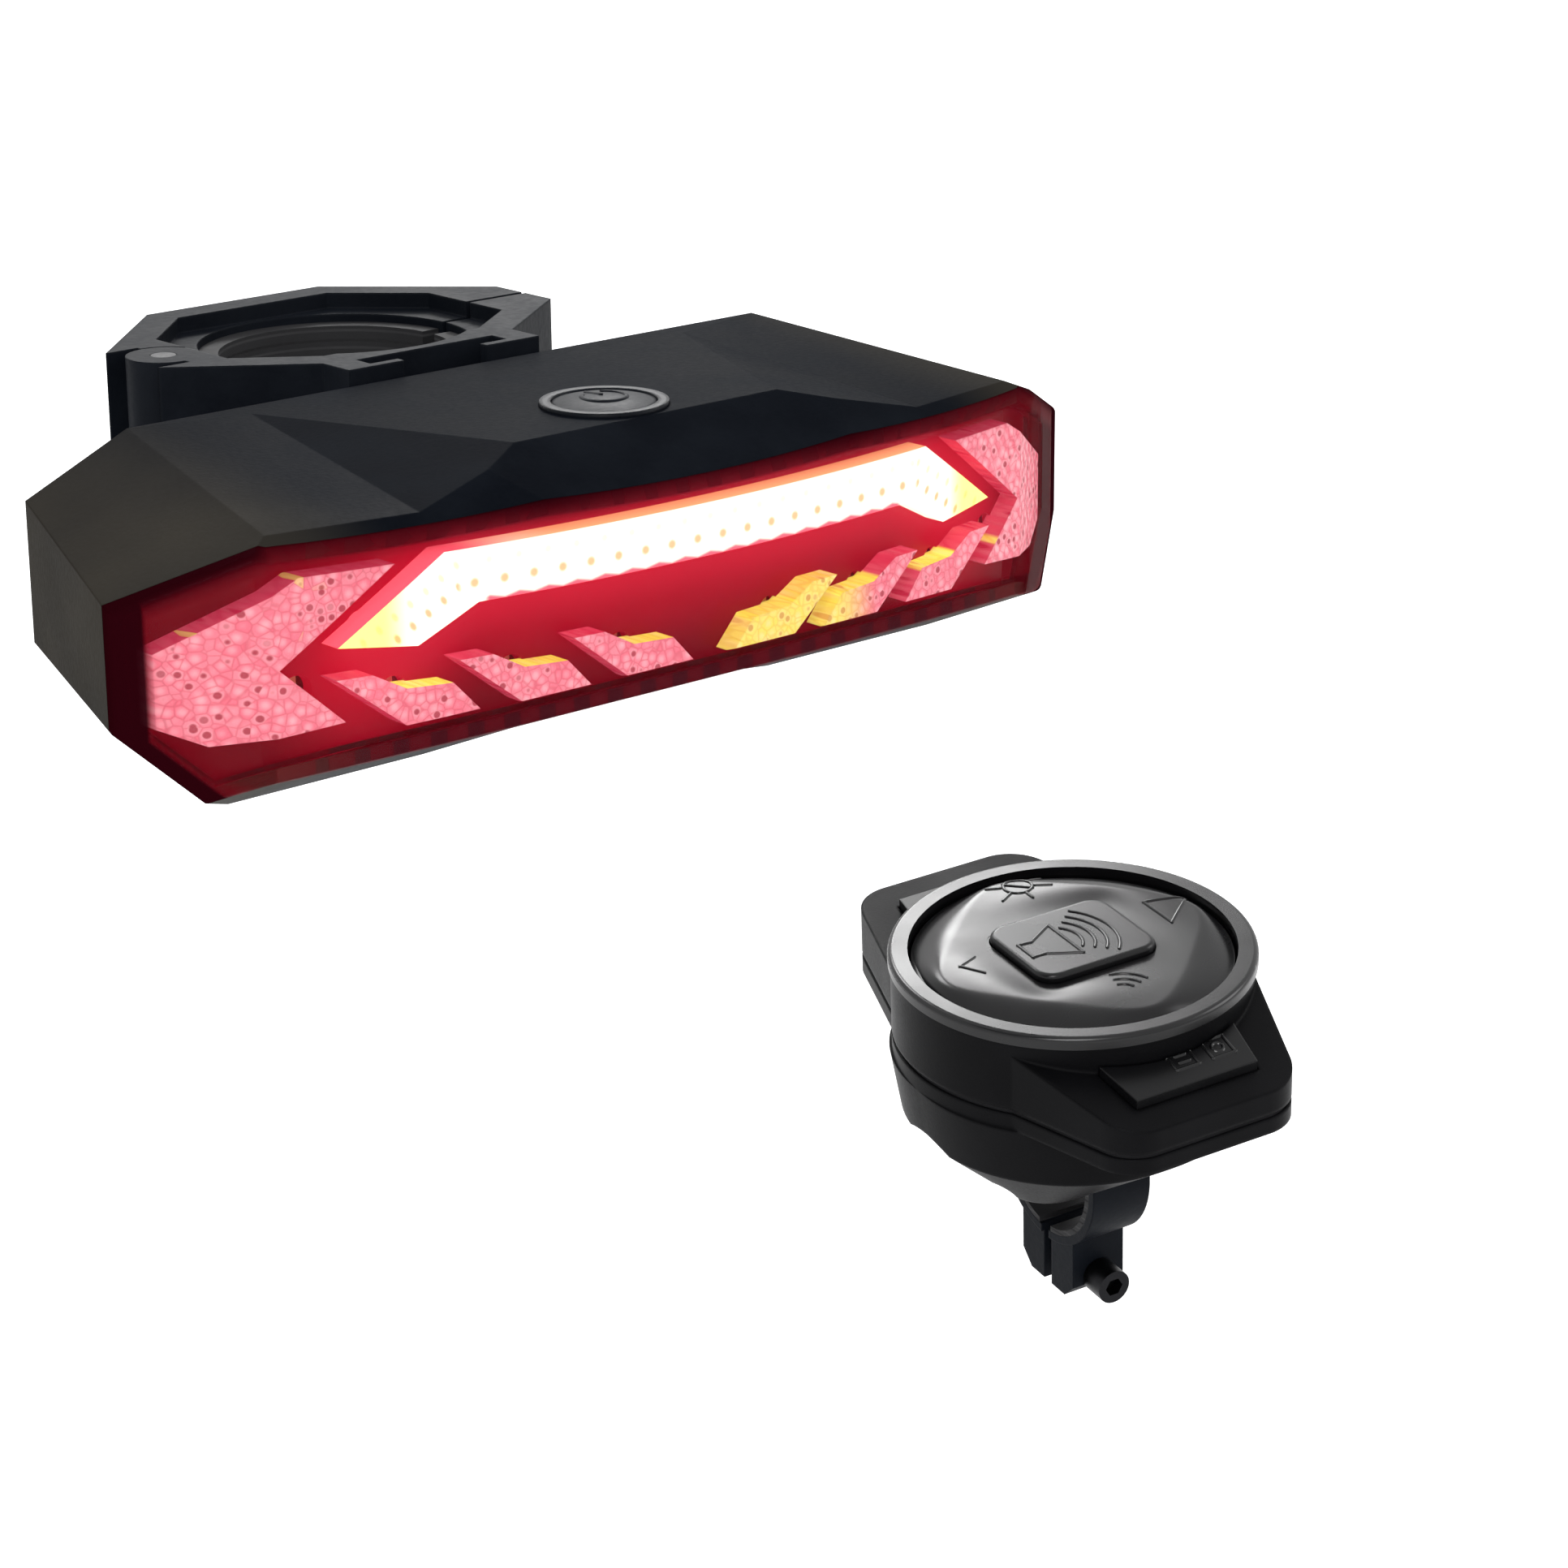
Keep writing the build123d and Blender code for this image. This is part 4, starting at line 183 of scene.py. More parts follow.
class Wire:
    """A node's output. The signs + - * / on it add Math nodes, so a pattern reads as a sum."""

    def __init__(self, nodes, socket):
        self.nodes, self.socket = nodes, socket

    def maths(self, operation, *values):
        return self.nodes.add("ShaderNodeMath", {"operation": operation}, dict(enumerate(values)))

    def __add__(self, other):
        return self.maths("ADD", self, other)

    def __sub__(self, other):
        return self.maths("SUBTRACT", self, other)

    def __rsub__(self, other):
        return self.maths("SUBTRACT", other, self)

    def __mul__(self, other):
        return self.maths("MULTIPLY", self, other)

    def __truediv__(self, other):
        return self.maths("DIVIDE", self, other)

    __radd__, __rmul__ = __add__, __mul__

    def abs(self):
        return self.maths("ABSOLUTE", self)

    def fract(self):
        return self.maths("FRACT", self)

    def root(self):
        return self.maths("SQRT", self)

    def least(self, other):
        return self.maths("MINIMUM", self, other)

    def most(self, other):
        return self.maths("MAXIMUM", self, other)

    def rise(self, low, high):
        """0 below low, 1 above high, and smooth between. With low over high it falls instead."""
        if low > high:
            return 1 - self.rise(high, low)
        smooth = {"interpolation_type": "SMOOTHSTEP"}
        return self.nodes.add("ShaderNodeMapRange", smooth, {0: self, 1: low, 2: high})


class Nodes:
    """A node tree, with one way to add a node to it."""

    def __init__(self, tree):
        self.tree = tree

    def give(self, target, value):
        """Sets a socket to a plain value, or links it."""
        if isinstance(value, Wire):
            self.tree.links.new(value.socket, target)
        elif target.type == "RGBA":
            target.default_value = (*value, 1)
        else:
            target.default_value = value

    def add(self, kind, settings=None, inputs=None, output=0):
        """A node of that kind, with its settings, and the values or links of its sockets."""
        node = self.tree.nodes.new(kind)
        for key, value in (settings or {}).items():
            setattr(node, key, value)
        for key, value in (inputs or {}).items():
            self.give(node.inputs[key], value)
        return Wire(self, node.outputs[output])

    def mix(self, factor, first, second):
        """A colour between first and second."""
        return self.add("ShaderNodeMix", {"data_type": "RGBA"}, {0: factor, 6: first, 7: second}, 2)

    def split(self, vector):
        """The three numbers of a vector."""
        outputs = self.add("ShaderNodeSeparateXYZ", inputs={0: vector}).socket.node.outputs
        return [Wire(self, output) for output in outputs]

    def scaled(self, vector, factors):
        """A vector with each of its numbers multiplied by its factor."""
        return self.add("ShaderNodeVectorMath", {"operation": "MULTIPLY"}, {0: vector, 1: factors})


class Finish(Nodes):
    """One material: a Principled shader, whose plain values are set on its own sockets."""

    def __init__(self, name, **plain):
        self.material = bpy.data.materials.new(name)
        self.material.use_nodes = True
        super().__init__(self.material.node_tree)
        self.shader = self.tree.nodes["Principled BSDF"]
        for socket, value in plain.items():
            self.set(socket.replace("_", " "), value)

    def set(self, socket, value):
        """Sets or links a socket of the shader."""
        self.give(self.shader.inputs[socket], value)

    def place(self, centre=(0, 0, 0)):
        """The point on the piece, in mm, measured from a centre."""
        point = self.add("ShaderNodeTexCoord", output="Object")
        inputs = {"Vector": point, "Location": centre, "Scale": (MM, MM, MM)}
        return self.add("ShaderNodeMapping", {"vector_type": "TEXTURE"}, inputs)

    def facing_up(self):
        """How far the surface faces up: 1 on a level top, -1 on an underside."""
        return self.split(self.add("ShaderNodeTexCoord", output="Normal"))[2]

    def noise(self, point, scale, detail):
        """Smooth noise from 0 to 1. scale is how many lumps there are to a millimetre."""
        return self.add("ShaderNodeTexNoise", inputs={"Vector": point, "Scale": scale, "Detail": detail})

    def cells(self, point, scale, feature="F1", output="Distance"):
        """Cells like pebbles: the distance to the nearest centre, or another output."""
        inputs = {"Vector": point, "Scale": scale}
        return self.add("ShaderNodeTexVoronoi", {"feature": feature}, inputs, output)

    def relief(self, height, depth, strength=1.0, edge=0.0):
        """Bumps of that depth in mm, over edges rounded by that radius in metres."""
        inputs = {"Height": height, "Distance": depth * MM, "Strength": strength}
        if edge:
            inputs["Normal"] = self.add("ShaderNodeBevel", {"samples": 6}, {"Radius": edge})
        self.set("Normal", self.add("ShaderNodeBump", inputs=inputs))


def dress(finish, *names):
    """Gives a finish to these CAD nodes."""
    for name in names:
        slots = NODES[name].data.materials
        slots.clear()
        slots.append(finish.material)


def moulded(name, dark, pale, roughness, grain=2.2, depth=0.02, edge=0.0, **plain):
    """Moulded plastic: a fine spark-eroded grain, slow cloudy changes of colour and gloss.

    A shallower grain, whose depth is in mm, also has a more even gloss, and without depth the
    surface is smooth. The mixed colour is kept as the finish's base.
    """
    finish = Finish(name, **plain)
    point = finish.place()
    cloud = finish.noise(point, 0.07, 4.0).rise(0.35, 0.7)
    fine = finish.noise(point, grain, 2.0)
    finish.base = finish.mix(cloud * 0.6 + fine * 0.3, dark, pale)
    finish.set("Base Color", finish.base)
    finish.set("Roughness", roughness + (fine - 0.5) * min(depth * 7, 0.14) + cloud * 0.06)
    if depth:
        finish.relief(fine, depth, 0.6, edge)
    return finish


def metal(name, tint, roughness, brush=(0.4, 0.4, 6.0)):
    """Plain metal: fine lines along one axis and a few duller patches."""
    finish = Finish(name, Metallic=1.0)
    point = finish.place()
    lines = finish.noise(finish.scaled(point, brush), 1.0, 3.0)
    dull = finish.noise(point, 0.25, 2.0).rise(0.45, 0.75)
    finish.set("Base Color", finish.mix(dull * 0.35 + lines * 0.25, tint, [c * 0.55 for c in tint]))
    finish.set("Roughness", roughness + (lines - 0.5) * 0.2 + dull * 0.12)
    finish.relief(lines, 0.01, 0.4)
    return finish


def length(a, b):
    """The length of the hypotenuse over two sides."""
    return (a * a + b * b).root()


def bar_distance(x, z):
    """The distance from the brake bar's middle line, and the measures along and across an end.

    The line is level as far as BAR_LEVEL each side, and then runs BAR_OUT out and BAR_DOWN down.
    The distance is the lesser of those to the level run and to the slanted one, in mm.
    """
    out, up = x.abs() - BAR_LEVEL, z - BAR_HEIGHT
    along = (out * BAR_OUT - up * BAR_DOWN) / BAR_END
    across = (out * BAR_DOWN + up * BAR_OUT) / BAR_END
    past = along - along.most(0.0).least(BAR_END)
    return length(out.most(0.0), up).least(length(past, across)), along, across


class TURNLIGHT_OT_housing(bpy.types.Operator):
    """Give the light's housing, rail and clamp their matte moulded finishes"""

    bl_idname = "turnlight.housing"
    bl_label = "Housing and clamp"

    def execute(self, context):
        lamp, edge = context.scene.lamp_colours, context.scene.detail_sizes.edge
        tones = lamp.housing, lamp.housing_pale
        shell = moulded("matte_housing", *tones, 0.36, 1.6, 0.03, edge, Specular_IOR_Level=0.003)
        x = shell.split(shell.place(LIGHT_CENTRE))[0]
        patches = 0.5 + shell.noise(shell.place(), 0.05, 2.0) * 0.8
        # Painted sheen: past 40 mm each side the housing's base colour turns olive grey, in cloudy
        # patches, standing in for the light reflected by its end facets.
        painted_end_sheen = x.abs().rise(40.0, 58.0) * patches
        shell.set("Base Color", shell.mix(painted_end_sheen, shell.base, lamp.housing_end_sheen))
        dress(shell, "housing_shell")
        clamp = moulded("clamp_moulding", *tones, 0.48, 1.1, 0.05, edge, Specular_IOR_Level=0.05)
        dress(clamp, "rail_plate", "bracket_body", "clamp_jaw", "bar_clamp_band")
        return {"FINISHED"}


class TURNLIGHT_OT_lens(bpy.types.Operator):
    """Give the clear red cover and the reflector tray their colour and glow"""

    bl_idname = "turnlight.lens"
    bl_label = "Red cover and tray"

    def execute(self, context):
        lamp, edge = context.scene.lamp_colours, context.scene.detail_sizes.edge
        cover = Finish("clear_red_cover", Specular_IOR_Level=0, Coat_Roughness=0.05, Emission_Strength=0.3)
        x, y, z = cover.split(cover.place(LIGHT_CENTRE))
        far = bar_distance(x, z)[0]
        side, height = x.abs(), (z - 17.0).abs()
        # The rim is dark past these heights, sides and corners. The lower corners are bevelled
        # square to (0.61, 0.25, -0.75), and are dark there too.
        rim = height.rise(11.5, 15.5).most(side.rise(66.2, 67.0))
        rim = rim.most((side * 0.45 + height).rise(36.4, 40.2))
        rim = rim.most((side * 0.61 + y * 0.25 - z * 0.75).rise(32.6, 33.6))
        cover.set("Base Color", cover.mix(rim, lamp.cover, lamp.rim))
        cover.set("Roughness", 0.12 + rim * 0.4)
        cover.set("Coat Weight", 0.16 - rim * 0.16)
        cover.set("Alpha", 0.16 + rim * 0.82)
        # Painted glow: the cover glows pinkish within about 7 mm of the brake bar's middle line, but not
        # on its dark rim, standing in for the bar's light spreading through it.
        painted_haze = far.rise(7.0, 3.0) * (1 - rim)
        cover.set("Emission Color", cover.mix(painted_haze, (0, 0, 0), lamp.painted_haze))
        cover.relief(cover.noise(cover.place(), 0.12, 1.0), 0.05, 0.3, edge * 2)
        dress(cover, "red_lens")

        tray = Finish("crimson_tray", Roughness=0.3, Specular_IOR_Level=0.1, Emission_Strength=0.8)
        point = tray.place(LIGHT_CENTRE)
        x, _, z = tray.split(point)
        # Painted glow: the tray's base colour and emission brighten towards the brake bar and stay dimly
        # lit away from it, standing in for the bar's light on the tray.
        glow = bar_distance(x, z)[0].rise(17.0, 2.0) * 0.9 + tray.noise(point, 0.12, 2.0) * 0.12
        tray.set("Base Color", tray.mix(glow, lamp.rim, lamp.tray))
        tray.set("Emission Color", tray.mix(glow, [c * 0.35 for c in lamp.tray], lamp.glow))
        tray.relief(tray.cells(point, 0.35), 0.1, 0.2)
        dress(tray, "reflector_tray")
        return {"FINISHED"}


class TURNLIGHT_OT_guides(bpy.types.Operator):
    """Light up the brake bar and give the turn chevrons their dimples"""

    bl_idname = "turnlight.guides"
    bl_label = "Light guides"

    def execute(self, context):
        lamp, sizes = context.scene.lamp_colours, context.scene.detail_sizes
        bar = Finish("lit_brake_bar", Roughness=0.25, Emission_Strength=1.35)
        point = bar.place(LIGHT_CENTRE)
        x, _, z = bar.split(point)
        along, across = bar_distance(x, z)[1:]
        pitch = sizes.dot_pitch / MM

        def dots(step, row, height, radius, shift):
            """A row of round dots, one to a pitch, at that height on the row's own measure."""
            sideways = (((step + ROW_SHIFT) / pitch + shift).fract() - 0.5) * pitch
            return length(sideways, row - height).rise(radius * 1.4, radius * 0.5)

        slanted_step = along * 1.7
        level = dots(x, z, 24.7, 0.55, 0.0).most(dots(x, z, 27.0, 0.42, 0.5) * 0.4)
        slanted = dots(slanted_step, across, -0.7, 0.6, 0.0)
        slanted = slanted.most(dots(slanted_step, across, 1.5, 0.55, 0.5) * 0.6)
        ends = x.abs().rise(33.0, 34.0)
        mark = level * (1 - ends) + slanted * ends
        tip = x.abs().rise(38.5, 43.0)
        wall = bar.facing_up().rise(0.3, 0.8)
        scallop = (((x + ROW_SHIFT) / pitch).fract() - 0.5).abs() * 0.8
        fringe = (z - scallop).rise(22.9, 22.4) * x.abs().rise(31.0, 30.0)
        lit = bar.mix(mark * 0.8, bar.mix(tip * 0.8, lamp.bar, lamp.spark), lamp.bar_dots)
        lit = bar.mix(fringe.most(wall * x.rise(-20.0, -34.0)), lit, lamp.bar_fringe)
        lit = bar.mix(wall * x.rise(-34.0, -20.0), lit, lamp.bar_wall)
        bar.set("Base Color", lit)
        bar.set("Emission Color", lit)
        bar.relief(bar.cells(point, 0.8), 0.15, 0.4, sizes.edge)
        dress(bar, "brake_light_bar")

        turn = Finish("prismatic_chevrons", Roughness=0.22, Specular_IOR_Level=0.3, Emission_Strength=0.62)
        point = turn.place(LIGHT_CENTRE)
        x, _, z = turn.split(point)
        upward = turn.facing_up()
        flat = turn.scaled(point, (1, 0.15, 1))
        scale = MM / sizes.cell
        pebble = turn.cells(flat, scale)
        chance = turn.split(turn.cells(flat, scale, output="Color"))[0]
        seam = turn.cells(flat, scale, "DISTANCE_TO_EDGE").rise(0.10, 0.02)
        streak = (((x + z * 0.7) / 1.6).fract() - 0.5).abs().rise(0.15, 0.4) * x.rise(40.0, 50.0)
        bright = pebble.rise(0.62, 0.1) * 0.6 + chance * 0.3 + streak * 0.35
        dark = (chance.rise(0.66, 0.74) * pebble.rise(0.45, 0.25)).most(seam * 0.3)
        # Amber are the inner small chevrons on the right, the small ones' notches, and a few
        # dimples high on the big ones.
        small = z.rise(17.2, 16.8) * x.abs().rise(50.5, 50.0)
        inner = x.rise(0.0, 1.0) * x.rise(27.0, 19.0) * small
        notch = small * upward.rise(0.4, 0.8) * z.rise(13.6, 13.9) * z.rise(14.9, 14.6)
        dimple = chance.rise(0.93, 0.97) * 0.7 * (1 - small) * z.rise(21.0, 24.0) * x.rise(40.0, 0.0)
        spark = (inner * 0.85 + notch + dimple).least(1.0)
        pink = turn.mix(bright, lamp.chevron, lamp.chevron_pale)
        pink = turn.mix(dark * 0.85, pink, lamp.chevron_dark)
        pink = turn.mix(upward.abs().rise(0.3, 0.8) * 0.8, pink, lamp.chevron_wall)
        amber = turn.mix(bright * 0.7, lamp.spark, lamp.spark_pale)
        lit = turn.mix(spark, pink, turn.mix(dark * 0.7, amber, lamp.spark_dark))
        turn.set("Base Color", lit)
        turn.set("Emission Color", lit)
        turn.relief(pebble, 0.25, 0.8, sizes.edge)
        dress(turn, "right_turn_chevron", "left_turn_chevron")
        dress(turn, "right_small_chevrons", "left_small_chevrons")
        return {"FINISHED"}


class TURNLIGHT_OT_inside(bpy.types.Operator):
    """Give the parts inside both units their finishes"""

    bl_idname = "turnlight.inside"
    bl_label = "Inside parts"

    def execute(self, context):
        remote = context.scene.remote_colours
        board = Finish("coated_board", Roughness=0.35)
        point = board.place()
        tracks = board.cells(point, 0.45, "DISTANCE_TO_EDGE").rise(0.10, 0.06)
        board.set("Base Color", board.mix(tracks * 0.5, remote.board, remote.tracks))
        board.relief(tracks, 0.03, 0.6)
        dress(board, "lamp_board", "main_board", "remote_board")
        package = moulded("black_package", (0.01, 0.01, 0.01), (0.03, 0.03, 0.03), 0.5, 3.0)
        dress(package, "board_header", "control_chip", "alarm_siren", "power_switch")
        cradle = moulded("grey_cradle", (0.05, 0.05, 0.055), (0.09, 0.09, 0.095), 0.5)
        dress(cradle, "battery_cradle")
        sleeve = moulded("cell_sleeve", (0.02, 0.08, 0.30), (0.03, 0.11, 0.36), 0.22, 0.6)
        dress(sleeve, "battery_cell")
        lamps = moulded("lamp_package", (0.85, 0.78, 0.42), (0.95, 0.9, 0.6), 0.3, 1.5)
        dress(lamps, "brake_leds", "turn_leds")
        silicone = moulded("grey_silicone", (0.18, 0.18, 0.18), (0.24, 0.24, 0.24), 0.6)
        dress(silicone, "key_mat")
        dress(metal("plated_can", (0.62, 0.62, 0.63), 0.3), "radio_receiver", "charging_socket")
        dress(metal("cell_case", (0.75, 0.75, 0.75), 0.22), "coin_cell", "battery_clip")
        even = (2.0, 2.0, 2.0)
        stainless = metal("stainless_screws", remote.steel, 0.3, even)
        dress(stainless, "housing_screws", "rail_screws", "remote_screws")
        black = metal("blackened_steel", remote.black_steel, 0.34, even)
        dress(black, "clamp_screw", "jaw_hinge_pin", "band_screws", "bar_clamp_screw")
        nuts = metal("plain_nuts", remote.steel, 0.38)
        dress(nuts, "clamp_nut", "rail_spring", "rocker_pivot", "dome_switches", "bar_clamp_nut")
        return {"FINISHED"}


class TURNLIGHT_OT_rubber(bpy.types.Operator):
    """Give the seals, the socket's cover and the clamps' pads their rubber"""

    bl_idname = "turnlight.rubber"
    bl_label = "Rubber parts"

    def execute(self, context):
        rubber, edge = context.scene.remote_colours.rubber, context.scene.detail_sizes.edge
        pale = [c * 2.2 for c in rubber]
        seal = moulded("soft_seal", rubber, pale, 0.62, 1.2, Specular_IOR_Level=0.1)
        dress(seal, "lens_seal", "button_seal", "remote_gasket")
        dress(moulded("socket_rubber", rubber, pale, 0.55, 1.4, 0.03, edge), "socket_cover")
        ribbed = Finish("ribbed_pad", Specular_IOR_Level=0.3)
        point = ribbed.place()
        z = ribbed.split(point)[2]
        rib = ((z / 2.2).fract() - 0.5).abs().rise(0.12, 0.3)
        dust = ribbed.noise(point, 0.5, 4.0)
        ribbed.set("Base Color", ribbed.mix(dust * 0.6, rubber, pale))
        ribbed.set("Roughness", 0.6 + dust * 0.2)
        ribbed.relief(rib, 0.25, 0.8)
        dress(ribbed, "fixed_jaw_pad", "swing_jaw_pad", "bar_pad")
        return {"FINISHED"}


def add_piece(name, points, faces):
    """A smooth piece of that name in the scene."""
    mesh = bpy.data.meshes.new(name)
    mesh.from_pydata(points.tolist(), [], faces.tolist())
    mesh.polygons.foreach_set("use_smooth", np.ones(len(faces), bool))
    piece = bpy.data.objects.new(name, mesh)
    bpy.context.scene.collection.objects.link(piece)
    return piece


def ridge_grid(path, width, height):
    """A low rounded ridge carried along a path, both in metres.

    At each point of the path the profile steps from one side to the other, and its height
    is the square root of one less the square of the side step, times the height. The ridge
    narrows to nothing past its two ends along a half circle.
    """
    step = np.gradient(path, axis=0)
    step /= np.linalg.norm(step, axis=1, keepdims=True)
    reach = np.sin(np.linspace(0, np.pi / 2, 5))[:-1]
    start = path[0] - step[0] * (width / 2) * (1 - reach[:, None])
    end = path[-1] + step[-1] * (width / 2) * (1 - reach[::-1, None])
    spine = np.concatenate([start, path, end])
    forward = np.concatenate([np.repeat(step[:1], 4, 0), step, np.repeat(step[-1:], 4, 0)])
    swell = np.sqrt(1 - (1 - reach) ** 2)
    swell = np.maximum(np.concatenate([swell, np.ones(len(path)), swell[::-1]]), 0.02)
    side = np.stack([-forward[:, 1], forward[:, 0]], 1)
    out = RIDGE_ACROSS[None, :, None] * swell[:, None, None] * width / 2
    flat = spine[:, None, :] + side[:, None, :] * out
    top = height * RIDGE_PROFILE[None, :] * swell[:, None]
    return np.concatenate([flat, top[:, :, None]], 2)


def ridges(name, paths, centre, turn, width, height):
    """One piece from several ridges that lie on the plane through centre. Paths are in mm."""
    points, faces, first = [], [], 0
    for path in paths:
        grid = ridge_grid(np.asarray(path, float) * MM, width, height)
        rows, columns = grid.shape[:2]
        index = first + np.arange(rows * columns).reshape(rows, columns)
        points.append(grid.reshape(-1, 3))
        quads = index[:-1, :-1], index[1:, :-1], index[1:, 1:], index[:-1, 1:]
        faces.append(np.stack(quads, -1).reshape(-1, 4))
        first += rows * columns
    points = np.concatenate(points) @ np.array(turn).T + np.array(centre)
    piece = add_piece(name, points, np.concatenate(faces))
    work = bmesh.new()
    work.from_mesh(piece.data)
    upwards = Vector(np.array(turn)[:, 2])
    down = [f for f in work.faces if f.normal.dot(upwards) < 0]
    bmesh.ops.reverse_faces(work, faces=down)
    work.to_mesh(piece.data)
    work.free()
    return piece


def settle(piece, ground_piece, height, upwards):
    """Lays a flat piece of ridges on the surface of another.

    Each point goes to the nearest point of that surface, and rises from there by its share of
    the ridge's height, less a slight sink.
    """
    wrap = piece.modifiers.new("settle", "SHRINKWRAP")
    wrap.target = ground_piece
    wrap.wrap_method = "NEAREST_SURFACEPOINT"
    wrap.wrap_mode = "ABOVE_SURFACE"
    wrap.offset = 0
    graph = bpy.context.evaluated_depsgraph_get()
    laid = bpy.data.meshes.new_from_object(piece.evaluated_get(graph))
    piece.modifiers.remove(wrap)
    count = len(laid.vertices)
    ground = np.zeros(count * 3)
    laid.vertices.foreach_get("co", ground)
    ground = ground.reshape(-1, 3)
    lift = np.tile(RIDGE_PROFILE, count // len(RIDGE_PROFILE))[:, None] * height - RIDGE_SINK
    piece.data.vertices.foreach_set("co", (ground + np.array(upwards) * lift).ravel())
    piece.data.update()
    bpy.data.meshes.remove(laid)


def arc_path(centre, radius, start, end, count):
    """Points along a circle round centre, from start to end in degrees."""
    angle = np.radians(np.linspace(start, end, count))
    return np.stack([centre[0] + radius * np.cos(angle), centre[1] + radius * np.sin(angle)], 1)


def run(*corners):
    """Points along straight runs between corners, a few to a millimetre, each run on its own."""
    lines = []
    for a, b in zip(corners[:-1], corners[1:]):
        share = np.linspace(0, 1, 12)[:, None]
        lines.append(np.array(a) * (1 - share) + np.array(b) * share)
    return lines


class TURNLIGHT_OT_button(bpy.types.Operator):
    """Finish the power button and its ring and add the button's moulded mark"""

    bl_idname = "turnlight.button"
    bl_label = "Power button"

    def execute(self, context):
        lamp, sizes = context.scene.lamp_colours, context.scene.detail_sizes
        tones, edge = (lamp.housing, lamp.housing_pale), sizes.edge * 2
        cap = moulded("satin_cap", *tones, 0.36, 1.8, 0.02, edge, Specular_IOR_Level=0.05)
        dress(cap, "power_button")
        ring = moulded("satin_ring", *tones, 0.28, 1.8, 0.01, edge, Specular_IOR_Level=0.09)
        dress(ring, "button_ring")
        low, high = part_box("power_button")
        centre = Vector(((low.x + high.x) / 2, (low.y + high.y) / 2, high.z))
        paths = [arc_path(*POWER_ARC), POWER_STROKE]
        mark = ridges("power_mark", paths, centre, Matrix.Identity(3), sizes.mark_width, sizes.mark_height)
        mark.data.materials.append(cap.material)
        settle(mark, NODES["power_button"], sizes.mark_height, (0.0, 0.0, 1.0))
        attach(mark, "power_button")
        return {"FINISHED"}


def superellipse(angle, halves, power):
    """How far a superellipse with these half widths reaches at an angle from its centre."""
    across, along = np.abs(np.cos(angle)) / halves[0], np.abs(np.sin(angle)) / halves[1]
    return (across**power + along**power) ** (-1 / power)


def rocker_skin():
    """The rocker pad's rounded top, laid over the plain pad.

    The surface runs out from the horn key's opening to the rim. Inside a rounded square
    turned by 45 degrees, a superellipse of power 5, it is level. Outside, it falls to the
    rim with the power 1.8 of the distance, so its four bays curve as one surface. Twice
    round the circle it swells, by one plus a cosine times the squared sine of the way out.
    Its outer and inner edges turn down into the pad.
    """
    angle = np.linspace(0, 2 * np.pi, SKIN_TURNS, endpoint=False)[:, None]
    share = np.linspace(0, 1, SKIN_STEPS)
    square = SKIN_SQUARE * superellipse(angle - np.pi / 4, (1, 1), 5)
    opening = superellipse(angle, SKIN_OPENING, 7)
    reach = opening + (SKIN_RIM - opening) * share
    fall = np.clip((reach - square) / (SKIN_RIM - square), 0, 1) ** 1.8
    swell = SKIN_SWELL * (1 + np.cos(2 * (angle - np.radians(35)))) * np.sin(np.pi * share) ** 2
    height = SKIN_LEVEL + swell - SKIN_FALL * fall
    reach = np.concatenate([reach[:, :1], reach, reach[:, -1:]], 1)
    height = np.concatenate([height[:, :1] - SKIN_EDGE, height, height[:, -1:] - SKIN_EDGE], 1)
    grid = np.stack([reach * np.cos(angle), reach * np.sin(angle), height], -1)
    points = grid.reshape(-1, 3) * MM @ np.array(REMOTE_TURN).T + np.array(REMOTE_CENTRE)
    index = np.arange(len(points)).reshape(SKIN_TURNS, -1)
    after = np.roll(index, -1, 0)
    quads = index[:, :-1], index[:, 1:], after[:, 1:], after[:, :-1]
    piece = add_piece("rocker_skin", points, np.stack(quads, -1).reshape(-1, 4))
    piece.data.set_sharp_from_angle(angle=np.radians(35))
    return piece


class TURNLIGHT_OT_remote(bpy.types.Operator):
    """Give the handlebar remote's case, rim, rocker pad and keys their finishes"""

    bl_idname = "turnlight.remote"
    bl_label = "Remote"

    def execute(self, context):
        remote, edge = context.scene.remote_colours, context.scene.detail_sizes.edge
        case_tones = remote.case, [c * 1.8 for c in remote.case]
        pad_tones = remote.pad, [c * 1.6 for c in remote.pad]
        case = moulded("satin_case", *case_tones, 0.36, 2.4, 0.02, edge * 2, Specular_IOR_Level=0.05)
        dress(case, "remote_base", "remote_top_shell")
        rim = moulded("polished_rim", *case_tones, 0.22, 2.4, 0, Specular_IOR_Level=0.4)
        dress(rim, "bezel_ring")
        pad = moulded("satin_pad", *pad_tones, 0.22, 2.4, 0, Specular_IOR_Level=0.3)
        dress(pad, "rocker_pad")
        key = moulded("satin_horn_key", *pad_tones, 0.22, 2.4, 0.002, edge, Specular_IOR_Level=0.3)
        dress(key, "horn_key")
        skin = rocker_skin()
        skin.data.materials.append(pad.material)
        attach(skin, "rocker")
        keys = moulded("satin_keys", *case_tones, 0.28, 2.4, 0.004, edge, Specular_IOR_Level=0.25)
        dress(keys, "front_side_key", "back_side_key")
        return {"FINISHED"}


